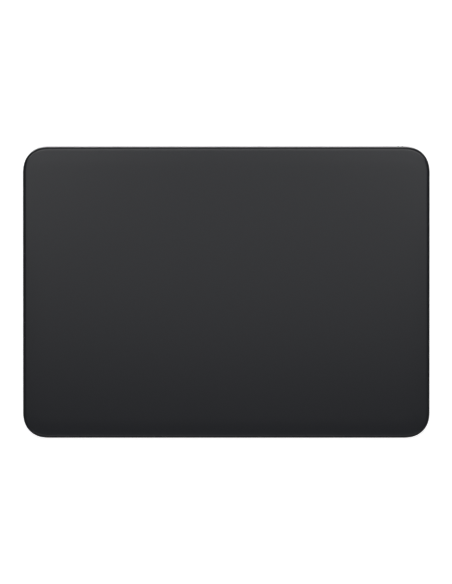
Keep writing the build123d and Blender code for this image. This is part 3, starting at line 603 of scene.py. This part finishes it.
def addPosts(bm):
    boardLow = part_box("main_board")[0].z / mm
    floor, radius = tray["floorTop"] - tray["sunk"], tray["postRadius"]
    for x, y in postPlaces:
        addRound(bm, radius, boardLow - floor, at(x, y, (boardLow + floor) / 2), 28, tray["postSoft"])
    for u, v in motorPlaces:
        seat = deck @ (Vector((u, v, -mounts["motorSeat"])) * mm) / mm
        addRound(bm, radius, seat.z - floor, at(seat.x, seat.y, (seat.z + floor) / 2), 28)


buildTray()
print("tray built")

# The thin cover under it, with a pocket for each foot
cover = dict(inset=2.5, edgeSoft=0.14, pocketRadius=4.6, pocketTop=0.7, pocketTall=2.0)
feet = ("foot_front_left", "foot_front_right", "foot_rear_left", "foot_rear_right")


def buildCover():
    low, high = boxOf("bottom_cover")
    inset, tall = cover["inset"], cover["pocketTall"]
    bm = bmesh.new()
    outline = easedOutline(bm, high.x - low.x + 2 * inset, high.y - low.y + 2 * inset, inset)
    thicken(bm, outline, (0, 0, high.z - low.z))
    softenWhere(bm, lambda co: co.z < 1e-7, cover["edgeSoft"])
    putAt(bm, at(0, (low.y + high.y) / 2, low.z))
    pockets = []
    for name in feet:
        low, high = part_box(name)
        middle = (low + high) / 2 / mm
        pockets.append(bmesh.new())
        addRound(pockets[-1], cover["pocketRadius"], tall, at(middle.x, middle.y, cover["pocketTop"] - tall / 2), 64)
    makePiece("underside_cover", cutAway(bm, pockets), "paleCover", "cover_plastic", "bottom_cover")


# Rubber feet: a rounded rim and a shallow ring pressed into the underside
foot = dict(rimSoft=0.2, ringInset=1.1, ringWidth=0.7, ringDepth=0.06)


def buildFeet():
    deep = foot["ringDepth"]
    for name in feet:
        low, high = boxOf(name)
        place = at(*((low + high) / 2))
        bm = bmesh.new()
        addRound(bm, (high.x - low.x) / 2, high.z - low.z, level, 72)
        softenWhere(bm, lambda co: co.z < 0, foot["rimSoft"], 4)
        for width, depth in ((foot["ringInset"], 0.0), (deep, -deep), (foot["ringWidth"], 0.0), (deep, deep)):
            insetFace(bm, widestFace(bm, -up), width, depth)
        makePiece(name.replace("foot", "pad_foot"), bm, "softRubber", "foot_rubber", name, place=place)


buildCover()
buildFeet()
print("underside built")

# The port: a drawn steel shell with rolled mouth, and a moulded tongue with gold contacts on both faces
port = dict(
    wall=0.3, mouthSoft=0.09, back=1.2, endWall=0.2, gap=0.02, tongueSize=(6.69, 4.45, 0.7),
    tongueSoft=0.16, tongueRoot=0.6, contacts=12, contactPitch=0.5, contactSize=(0.26, 3.1, 0.03),
    contactSoft=0.012)


def buildPort():
    low, high = portLow / mm, portHigh / mm
    wide, depth, tall = high - low
    wall, soft, slack = port["wall"], port["mouthSoft"], 2 * port["wall"] + port["gap"]
    bm = bmesh.new()
    thicken(bm, barOutline(bm, wide, tall, tall / 2, 12), (0, -depth, 0))
    softenEdges(bm, widestFace(bm, rearward).edges[:], soft)
    mouth = widestFace(bm, rearward)
    insetFace(bm, mouth, wall - 2 * soft)
    insetFace(bm, mouth, soft, -soft)
    moveBy(bm, sinkFace(bm, mouth), 0, port["endWall"] - depth, 0)
    faceOut(bm)
    makePiece("port_shell", bm, "stampedSteel", "port_steel", "usb_shell", place=at(0, high.y, portHeight))

    bm = bmesh.new()
    outline = barOutline(bm, wide - slack, tall - slack, tall / 2 - wall - port["gap"], 10)
    thicken(bm, outline, (0, port["back"], 0))
    moveBy(bm, bm.verts, 0, low.y, 0)
    across, run, thick = port["tongueSize"]
    root, middle = port["tongueRoot"], low.y + port["back"] + run / 2
    addBlock(bm, (across, run + root, thick), at(0, middle - root / 2, 0), port["tongueSoft"], 3)
    makePiece("port_tongue", bm, "blackMoulding", "black_plastic", "usb_tongue", place=at(0, 0, portHeight))

    bm = bmesh.new()
    across, along, proud = port["contactSize"]
    for index in range(port["contacts"]):
        x = (index - (port["contacts"] - 1) / 2) * port["contactPitch"]
        for side in (-1, 1):
            addBlock(bm, (across, along, 2 * proud), at(x, middle, side * thick / 2), port["contactSoft"], 1)
    makePiece("port_contacts", bm, "goldContact", "port_steel", place=at(0, 0, portHeight))


buildPort()
print("port built")

# The power slider: a metal knob with two black ribs across its face, which are painted shade, on a moulded flange
# behind the slot with a forked stem; the flange is black moulding, which also paints the shade inside the slot
knob = dict(
    knobSize=(2.9, 1.9), knobCorner=0.3, knobSoft=0.09, knobGap=0.35, proud=0.2, shadeRibs=(-0.8, 0.8),
    shadeRibSize=(0.55, 1.0, 1.84), shadeRibRise=0.08, ribSoft=0.05, flangeSize=(6.2, 0.5, 3.0), flangeGap=0.1,
    flangeSoft=0.06, stemSize=(1.5, 2.8, 1.4), stemGap=0.3, root=0.05, prongSize=(0.25, 1.6, 1.4),
    prongSoft=0.04)


def buildSlider():
    halfSlot = tray["slotSize"][0] / 2
    knobU = slotU + halfSlot - knob["knobGap"] - knob["knobSize"][0] / 2
    place = atWall(knobU, rearEdge + knob["proud"])
    frontV = rearEdge - tray["wall"] - knob["flangeGap"]
    bm = bmesh.new()
    outline = barOutline(bm, *knob["knobSize"], knob["knobCorner"], 5)
    thicken(bm, outline, (0, frontV - rearEdge - knob["proud"], 0))
    softenEdges(bm, widestFace(bm, rearward).edges[:], knob["knobSoft"])
    # The knob sits back by the rise of the black ribs, which are painted shade
    makePiece("power_knob", bm, "silverSlider", "slider_plastic", "switch_slider",
            place=place @ at(0, -knob["shadeRibRise"], 0), onBody="power_slider")

    bm = bmesh.new()
    # The two black ribs on the knob's face are painted shade: dark marks put where the knob is shaded
    for x in knob["shadeRibs"]:
        addBlock(bm, knob["shadeRibSize"], place @ at(x, -knob["shadeRibSize"][1] / 2, 0), knob["ribSoft"])
    thick = knob["flangeSize"][1]
    (stemWide, stemRun), (prongWide, prongRun) = knob["stemSize"][:2], knob["prongSize"][:2]
    # The flange is black moulding, which also paints the shade inside the slot
    addBlock(bm, knob["flangeSize"], atWall(slotU, frontV - thick / 2), knob["flangeSoft"])
    stemU = slotU - halfSlot + knob["stemGap"] + stemWide / 2
    stemV = frontV - thick - stemRun / 2 + knob["root"]
    addBlock(bm, knob["stemSize"], atWall(stemU, stemV), knob["ribSoft"])
    for side in (-1, 1):
        u = stemU + side * (stemWide - prongWide) / 2
        v = frontV - thick - stemRun - prongRun / 2 + 2 * knob["root"]
        addBlock(bm, knob["prongSize"], atWall(u, v), knob["prongSoft"])
    # One black piece: the painted-shade ribs, the flange that also paints the shade inside the slot, and the stem
    makePiece("knob_carrier_with_shade_ribs", bm, "blackMoulding", "black_plastic", onBody="power_slider")


buildSlider()
print("slider built")

# The cell: a soft pouch with its side seams folded up, a sealed ledge with two tabs, and two tapes over it
cell = dict(
    corner=3.0, topSoft=0.8, lowSoft=0.3, seam=0.35, seamGap=0.1, seamTall=0.72, seamLift=0.4, seamSoft=0.12,
    webTall=0.3, webLift=0.25, ledge=1.5, ledgeThick=0.25, ledgeLift=0.05, ledgeRoot=0.6, ledgeSoft=0.06,
    tabSize=(3.2, 2.6, 0.12), tabApart=11.0, tabStart=0.9, tabSoft=0.03,
    tapeWide=4.0, tapeThick=0.05, tapeShort=2.4, tapeSoft=0.01, tapePlaces=(-0.3, 0.3))


def buildCell():
    low, high = boxOf("battery_cell")
    boardLow, boardHigh = boxOf("battery_board")
    size, middle = high - low, (low + high) / 2
    ledge, seam, corner, thin = cell["ledge"], cell["seam"], cell["corner"], cell["tapeThick"]
    pouchY, length, tall = middle.y - ledge / 2, size.y - ledge, size.z - thin
    bm = bmesh.new()
    thicken(bm, plateOutline(bm, size.x - 2 * (seam + cell["seamGap"]), length, corner), (0, 0, tall))
    softenWhere(bm, lambda co: co.z > (tall - hair) * mm, cell["topSoft"], 5)
    softenWhere(bm, lambda co: co.z < hair * mm, cell["lowSoft"])
    moveBy(bm, bm.verts, middle.x, pouchY, low.z)
    for side in (-1, 1):
        addBlock(bm, (seam, length - 2 * corner, tall * cell["seamTall"]),
                at(middle.x + side * (size.x - seam) / 2, pouchY, low.z + tall * cell["seamLift"]), cell["seamSoft"])
        addBlock(bm, (2 * cell["seamGap"], length - 3 * corner, cell["webTall"]),
                at(middle.x + side * (size.x / 2 - seam), pouchY, low.z + cell["webLift"]))
    root, thick = cell["ledgeRoot"], cell["ledgeThick"]
    place = at(middle.x, high.y - ledge / 2 - root / 2, boardHigh.z + thick / 2 + cell["ledgeLift"])
    addBlock(bm, (size.x - 4 * corner, ledge + root, thick), place, cell["ledgeSoft"])
    makePiece("cell_pouch", bm, "cellPouch", "cell_pouch", "battery_cell")

    bm = bmesh.new()
    wide, run, thick = cell["tabSize"]
    for side in (-1, 1):
        x, y = (boardLow.x + boardHigh.x) / 2 + side * cell["tabApart"] / 2, high.y + run / 2 - cell["tabStart"]
        addBlock(bm, (wide, run, thick), at(x, y, boardHigh.z + thick / 2), cell["tabSoft"], 1)
    makePiece("cell_tabs", bm, "tinnedShield", "shield_steel")

    bm = bmesh.new()
    for share in cell["tapePlaces"]:
        addBlock(bm, (cell["tapeWide"], length - cell["tapeShort"], thin),
                at(middle.x + share * size.x, pouchY, high.z - thin / 2), cell["tapeSoft"], 1)
    makePiece("cell_tape", bm, "amberTape", "ribbon_film")


buildCell()

# The main board's parts: chips on soldered pads, a dimpled shield, and rows of small parts between them
chip = dict(soft=0.06, padSize=(0.24, 0.34, 0.12), padPitch=0.5, padSoft=0.03, padMargin=0.6, mark=0.2, markTall=0.03)
shield = dict(
    corner=0.6, soft=0.18, wall=0.2, margin=1.2, dimpleRadius=0.34, dimpleTall=0.2, dimpleDepth=0.05, dimplePitch=1.7)
small = dict(
    body=(0.5, 0.5, 0.32), bodySoft=0.02, end=(0.24, 0.54, 0.36), endSoft=0.04, pitch=(2.1, 1.3),
    start=(1.5, 1.1), margin=(2.0, 1.6), shift=0.35, clear=(1.1, 0.9), postClear=1.8)
tallParts = ("shield_can", "board_connector", "usb_shell", "switch_body", "switch_lever", "battery_flex",
             "touch_flex", "gauge_flex", "antenna_cable")


# The separate solids of a CAD part, as boxes in mm in a chosen frame
def islands(name, within=level):
    bm = bmesh.new()
    bm.from_mesh(nodes[name].data)
    putAt(bm, within.inverted() @ nodes[name].matrix_world)
    mergeWithin(bm, 1e-6)
    left, boxes = set(bm.verts), []
    while left:
        found = [left.pop()]
        for vert in found:  # the list grows while it is read
            near = {other for edge in vert.link_edges for other in edge.verts} & left
            left -= near
            found.extend(near)
        boxes.append([Vector([pick(v.co[axis] / mm for v in found) for axis in range(3)]) for pick in (min, max)])
    bm.free()
    return sorted(boxes, key=lambda box: (round(box[0].x, 3), round(box[0].y, 3)))


def addPads(bm, low, high):
    size, middle = high - low, (low + high) / 2
    wide, run, thick = chip["padSize"]
    for axis in (0, 1):
        count = max(2, int((size[axis] - chip["padMargin"]) / chip["padPitch"]))
        for index in range(count):
            along = (index - (count - 1) / 2) * chip["padPitch"]
            for side in (-1, 1):
                across = side * size[1 - axis] / 2
                (x, y), flat = (((along, across), (wide, run)), ((across, along), (run, wide)))[axis]
                addBlock(bm, (*flat, thick), at(middle.x + x, middle.y + y, low.z + thick / 2), chip["padSoft"], 1)


def buildChips():
    chips, pads = bmesh.new(), bmesh.new()
    mark = chip["mark"]
    for low, high in islands("board_chips"):
        addBlock(chips, high - low, at(*((low + high) / 2)), chip["soft"])
        addRound(chips, mark, chip["markTall"], at(low.x + 3 * mark, high.y - 3 * mark, high.z), 16)
        addPads(pads, low, high)
    makePiece("mainboard_chips", chips, "chipEpoxy", "chip_plastic", "board_chips")
    makePiece("chip_pads", pads, "tinnedShield", "shield_steel")


def buildShield():
    low, high = boxOf("shield_can")
    size, middle = high - low, (low + high) / 2
    wall, pitch, tall = shield["wall"], shield["dimplePitch"], shield["dimpleTall"]
    bm = bmesh.new()
    thicken(bm, plateOutline(bm, size.x, size.y, shield["corner"]), (0, 0, size.z))
    softenWhere(bm, lambda co: co.z > (size.z - hair) * mm, shield["soft"])
    below = widestFace(bm, -up)
    insetFace(bm, below, wall)
    moveBy(bm, sinkFace(bm, below), 0, 0, size.z - wall)
    faceOut(bm)
    columns, rows = (int((span - shield["margin"]) / pitch) for span in (size.x, size.y))
    dimples = []
    for column in range(columns):
        for row in range(rows):
            x, y = (column - (columns - 1) / 2) * pitch, (row - (rows - 1) / 2) * pitch
            place = at(x, y, size.z + tall / 2 - shield["dimpleDepth"])
            dimples.append(bmesh.new())
            addRound(dimples[-1], shield["dimpleRadius"], tall, place, 14)
    makePiece("radio_shield", cutAway(bm, dimples), "tinnedShield", "shield_steel", "shield_can",
            place=at(middle.x, middle.y, low.z))


def buildSmallParts():
    low, high = boxOf("main_board")
    reach = Vector((small["postClear"], small["postClear"], 0))
    taken = islands("board_chips") + [boxOf(name) for name in tallParts]
    taken += [(Vector((x, y, 0)) - reach, Vector((x, y, 0)) + reach) for x, y in postPlaces]
    bodies, ends = bmesh.new(), bmesh.new()
    (stepX, stepY), (startX, startY), (clearX, clearY) = small["pitch"], small["start"], small["clear"]
    part, end, count = small["body"], small["end"], 0
    apart = (part[0] + end[0]) / 2
    for row in range(int((high.y - low.y - small["margin"][1]) / stepY)):
        for column in range(int((high.x - low.x - small["margin"][0]) / stepX)):
            x = low.x + startX + (column + small["shift"] * (row % 2)) * stepX
            y = low.y + startY + row * stepY
            skipped = (3 * column + 5 * row) % 7 in (2, 5)  # leaves some places free
            if skipped or any(a.x - clearX < x < b.x + clearX and a.y - clearY < y < b.y + clearY for a, b in taken):
                continue
            addBlock(bodies, part, at(x, y, high.z + part[2] / 2), small["bodySoft"], 1)
            for side in (-1, 1):
                addBlock(ends, end, at(x + side * apart, y, high.z + end[2] / 2), small["endSoft"], 1)
            count += 1
    makePiece("small_parts", bodies, "brownCeramic", "chip_plastic")
    makePiece("small_part_ends", ends, "tinnedShield", "shield_steel")
    return count


# The touch ribbon: a thin film that leaves its connector level, falls in one soft bend and lands level again
ribbon = dict(thick=0.15, steps=28)


def buildTouchRibbon():
    low, high = boxOf("touch_flex")
    upperBox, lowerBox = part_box("touch_connector"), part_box("board_connector")
    bendFrom = low.y + (upperBox[1].y - upperBox[0].y) / mm
    bendTo = high.y - (lowerBox[1].y - lowerBox[0].y) / mm
    top, steps = high.z - ribbon["thick"], ribbon["steps"]
    bm = bmesh.new()
    edge = bm.edges.new([bm.verts.new((x * mm, low.y * mm, top * mm)) for x in (low.x, high.x)])
    for index in range(1, steps + 1):
        y = low.y + (high.y - low.y) * index / steps
        share = min(1.0, max(0.0, (y - bendFrom) / (bendTo - bendFrom)))
        made = bmesh.ops.extrude_edge_only(bm, edges=[edge])["geom"]
        edge = next(item for item in made if isinstance(item, bmesh.types.BMEdge))
        for point in edge.verts:
            point.co.y = y * mm
            point.co.z = (top + (low.z - top) * share * share * (3 - 2 * share)) * mm
    thicken(bm, bm.faces[:], (0, 0, ribbon["thick"]))
    piece = makePiece("touch_ribbon", bm, "ribbonFilm", "ribbon_film", "touch_flex", onBody=None)
    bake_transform(piece)


# Coils: each turn is a rounded loop of its own round the tooth
coil = dict(pitch=0.42, corner=0.5, share=0.98, rimShare=0.42, side=1.3, wall=0.3, boreExtra=1.0)


def buildCoils():
    for name in sorted(n for n in nodes if n.startswith("coil")):
        low, high = islands(name, deck)[0]
        size, middle = high - low, (low + high) / 2
        count = round(size.x / coil["pitch"])
        pitch = size.x / count
        bm = bmesh.new()
        for index in range(count):
            loop = bmesh.new()
            thicken(loop, barOutline(loop, size.y, size.z, coil["corner"], 4), (0, pitch * coil["share"], 0))
            rims = [e for e in loop.edges if abs(e.verts[0].co.y - e.verts[1].co.y) < 1e-7]
            softenEdges(loop, rims, coil["rimShare"] * pitch, 2)
            turnBy(loop, -90, "Z")
            moveBy(loop, loop.verts, index * pitch - size.x / 2, 0, 0)
            joinInto(bm, loop)
        bore = bmesh.new()
        addBlock(bore, (size.x + coil["boreExtra"], size.y - 2 * coil["side"], size.z - 2 * coil["wall"]), level)
        makePiece(name.replace("coil", "winding"), cutAway(bm, [bore]), "copperWindings", "copper_wire", name,
                place=deck @ at(*middle))


buildChips()
buildShield()
buildTouchRibbon()
buildCoils()
print("board parts built, with small parts:", buildSmallParts())

# Parts inside that keep their own shape get their finish here
springs = [f"{part}_{end}_{side}" for part in ("flexure", "load_button") for end in ("front", "rear")
           for side in ("left", "right")]
keptParts = dict(
    clearGlue=["sensor_adhesive", "cover_adhesive"],
    sensorMask=["sensor_board"],
    boardMask=["main_board", "battery_board"],
    brushedPlate=["stiffener_plate"],
    springSteel=springs,
    laminatedIron=["actuator_core_left", "actuator_core_right", "armature_bar_left", "armature_bar_right"],
    platedSteel=["actuator_bracket"],
    gelPad=[name for name in nodes if name.startswith("isolator_pad")],
    ribbonFilm=["battery_flex", "gauge_flex"],
    gaugeFoil=["strain_gauges"],
    chipEpoxy=["touch_controller"],
    connectorPlastic=["board_connector", "touch_connector"],
    antennaPlastic=["antenna"],
    blackMoulding=["antenna_cable", "switch_body", "switch_lever", "switch_guide"],
    greenStrip=["switch_marker"],
)
for name, members in keptParts.items():
    for member in members:
        nodes[member].data.materials.clear()
        nodes[member].data.materials.append(finish[name])

# Screws: a low round head with a round socket, and a shank under it
screw = dict(headRadius=1.3, headSoft=0.07, socketRadius=0.52, socketDepth=0.2, shankRadius=0.6, overlap=0.01)
beamU, beamApart, beamDepth = mounts["beamScrew"]
buttonU, buttonDepth = mounts["buttonScrew"]
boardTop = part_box("main_board")[1].z / mm
screwSeats = {
    "beam_screws": dict(stands="flexure_screws", head=0.3, shank=1.3, seats=[
        deck @ at(side * beamU, v + end * beamApart, -beamDepth) for side, v in beamPlaces for end in (-1, 1)]),
    "button_screws": dict(stands="plate_screws", onBody="press_carrier", head=0.4, shank=0.8, flip=True, seats=[
        deck @ at(side * buttonU, v, -buttonDepth) for side, v in beamPlaces]),
    "motor_screws": dict(stands="actuator_screws", head=0.3, shank=1.3, seats=[
        deck @ at(u, v, -motorDepth) for u, v in motorPlaces]),
    "mainboard_screws": dict(stands="board_screws", head=0.3, shank=1.5, seats=[
        at(x, y, boardTop) for x, y in postPlaces]),
}


def buildScrews():
    for name, row in screwSeats.items():
        bm = bmesh.new()
        for seat in row["seats"]:
            one = bmesh.new()
            addRound(one, screw["headRadius"], row["head"], at(0, 0, row["head"] / 2), 28, screw["headSoft"])
            insetFace(one, widestFace(one, up), screw["headRadius"] - screw["headSoft"] - screw["socketRadius"])
            moveBy(one, sinkFace(one, widestFace(one, up)), 0, 0, -screw["socketDepth"])
            addRound(one, screw["shankRadius"], row["shank"], at(0, 0, -row["shank"] / 2 + screw["overlap"]), 16)
            if "flip" in row:
                turnBy(one, 180, "X")
            putAt(one, seat)
            joinInto(bm, one)
        makePiece(name, bm, "screwSteel", "screw_steel", row["stands"], onBody=row.get("onBody", "base"))


buildScrews()
print("screws built and inner parts finished")

# Stage: a plain pale floor that turns whiter far off, and a room that is white near the horizon in mirrors
stage = dict(
    floorReach=14.0, floorDrop=0.03, floorColor=(0.82, 0.82, 0.82), floorWhite=0.74, floorFar=0.84,
    farFrom=0.15, farOver=0.4, floorMirrored=0.10, roomLevel=0.24, horizonFade=-5.0, horizonStart=1.25)

# Soft lamps: a large one above and behind, two smaller ones beside it, and a strip before and behind
# Each faces the object's middle, or is tipped by some degrees from facing straight down
lamps = {
    "lampAbove": dict(size=(0.27, 0.45), place=(0.0, 0.1120, 0.370), glow=0.69, turn=30.4),
    "lampLeft": dict(size=(0.17, 0.25), place=(-0.127, 0.117, 0.31), glow=0.56),
    "lampRight": dict(size=(0.17, 0.25), place=(0.127, 0.117, 0.31), glow=0.56),
    "lampFront": dict(size=(0.6, 0.14), place=(0.0, -0.38, 0.5), glow=1.0),
    "lampRear": dict(size=(0.6, 0.07), place=(0.0, 0.158, 0.33), glow=2.4),
}


def emptyTree(owner):
    owner.use_nodes = True
    owner.node_tree.nodes.clear()
    return owner.node_tree


# Rays that the eye sees directly, and those that it sees through a mirror or glass
def rayKinds(tree):
    ray = addNode(tree, "LightPath").outputs
    return ray["Is Camera Ray"], mathNode(tree, "MAXIMUM", ray["Is Glossy Ray"], ray["Is Transmission Ray"])


def buildFloor():
    bm = bmesh.new()
    bmesh.ops.create_grid(bm, x_segments=1, y_segments=1, size=stage["floorReach"])
    moveBy(bm, bm.verts, 0, 0, -stage["floorDrop"])
    floor = newObject("floor", meshOf(bm, "floor"))
    material = bpy.data.materials.new("paleFloor")
    tree = emptyTree(material)
    direct, mirrored = rayKinds(tree)
    place = addNode(tree, "TexCoord").outputs["Object"]
    away = addNode(tree, "VectorMath", {0: place}, operation="LENGTH").outputs["Value"]
    far = mathNode(tree, "DIVIDE", mathNode(tree, "SUBTRACT", away, stage["farFrom"]), stage["farOver"], clamp=True)
    strength = mathNode(tree, "MULTIPLY_ADD", far, stage["floorFar"] - stage["floorWhite"], stage["floorWhite"])
    seen = mathNode(tree, "MULTIPLY", direct, strength)
    strength = mathNode(tree, "MULTIPLY_ADD", mirrored, stage["floorMirrored"], seen)
    plain = addNode(tree, "BsdfDiffuse", {"Color": opaque(stage["floorColor"])})
    white = addNode(tree, "Emission", {"Strength": strength})
    both = addNode(tree, "AddShader", {0: plain.outputs[0], 1: white.outputs[0]})
    addNode(tree, "OutputMaterial", {"Surface": both.outputs[0]})
    floor.data.materials.append(material)


def addLamp(name, size, place, glow, turn=None):
    data = bpy.data.lights.new(name, "AREA")
    data.shape, data.size, data.size_y = "RECTANGLE", size[0], size[1]
    data.energy = glow * pi * size[0] * size[1]  # an even glow of that level over the lamp
    lamp = newObject(name, data)
    lamp.location = place
    lamp.rotation_euler = Vector(place).to_track_quat("Z", "Y").to_euler() if turn is None else (-radians(turn), 0, 0)
    lamp.visible_camera = False


def buildWorld():
    world = bpy.data.worlds.new("studio")
    bpy.context.scene.world = world
    tree = emptyTree(world)
    direct, mirrored = rayKinds(tree)
    place = addNode(tree, "TexCoord").outputs["Generated"]
    rise = mathNode(tree, "ABSOLUTE", addNode(tree, "SeparateXYZ", {0: place}).outputs["Z"])
    low = mathNode(tree, "MULTIPLY_ADD", rise, stage["horizonFade"], stage["horizonStart"], clamp=True)
    seen = mathNode(tree, "MAXIMUM", direct, mathNode(tree, "MULTIPLY", mirrored, low))
    room, white = (addNode(tree, "Background", {"Color": (1, 1, 1, 1), "Strength": strength})
            for strength in (stage["roomLevel"], 1.0))
    pick = addNode(tree, "MixShader", {"Fac": seen, 1: room.outputs[0], 2: white.outputs[0]})
    addNode(tree, "OutputWorld", {"Surface": pick.outputs[0]})


buildFloor()
for name, row in lamps.items():
    addLamp(name, **row)
buildWorld()
print("stage ready")

# Camera straight above, far off through a long lens
camera = dict(distance=6.0, seenHeight=229.83, aim=(-0.12, -0.04), sensor=36.0, clip=(0.1, 20.0))


def buildCamera():
    data = bpy.data.cameras.new("cameraAbove")
    data.sensor_width = camera["sensor"]
    data.lens = camera["sensor"] * camera["distance"] / (camera["seenHeight"] * mm)
    data.clip_start, data.clip_end = camera["clip"]
    eye = newObject("cameraAbove", data)
    eye.location = (camera["aim"][0] * mm, camera["aim"][1] * mm, deckZ * mm + camera["distance"])
    bpy.context.scene.camera = eye


buildCamera()
bpy.context.scene.view_settings.view_transform = "Standard"
print("camera set")
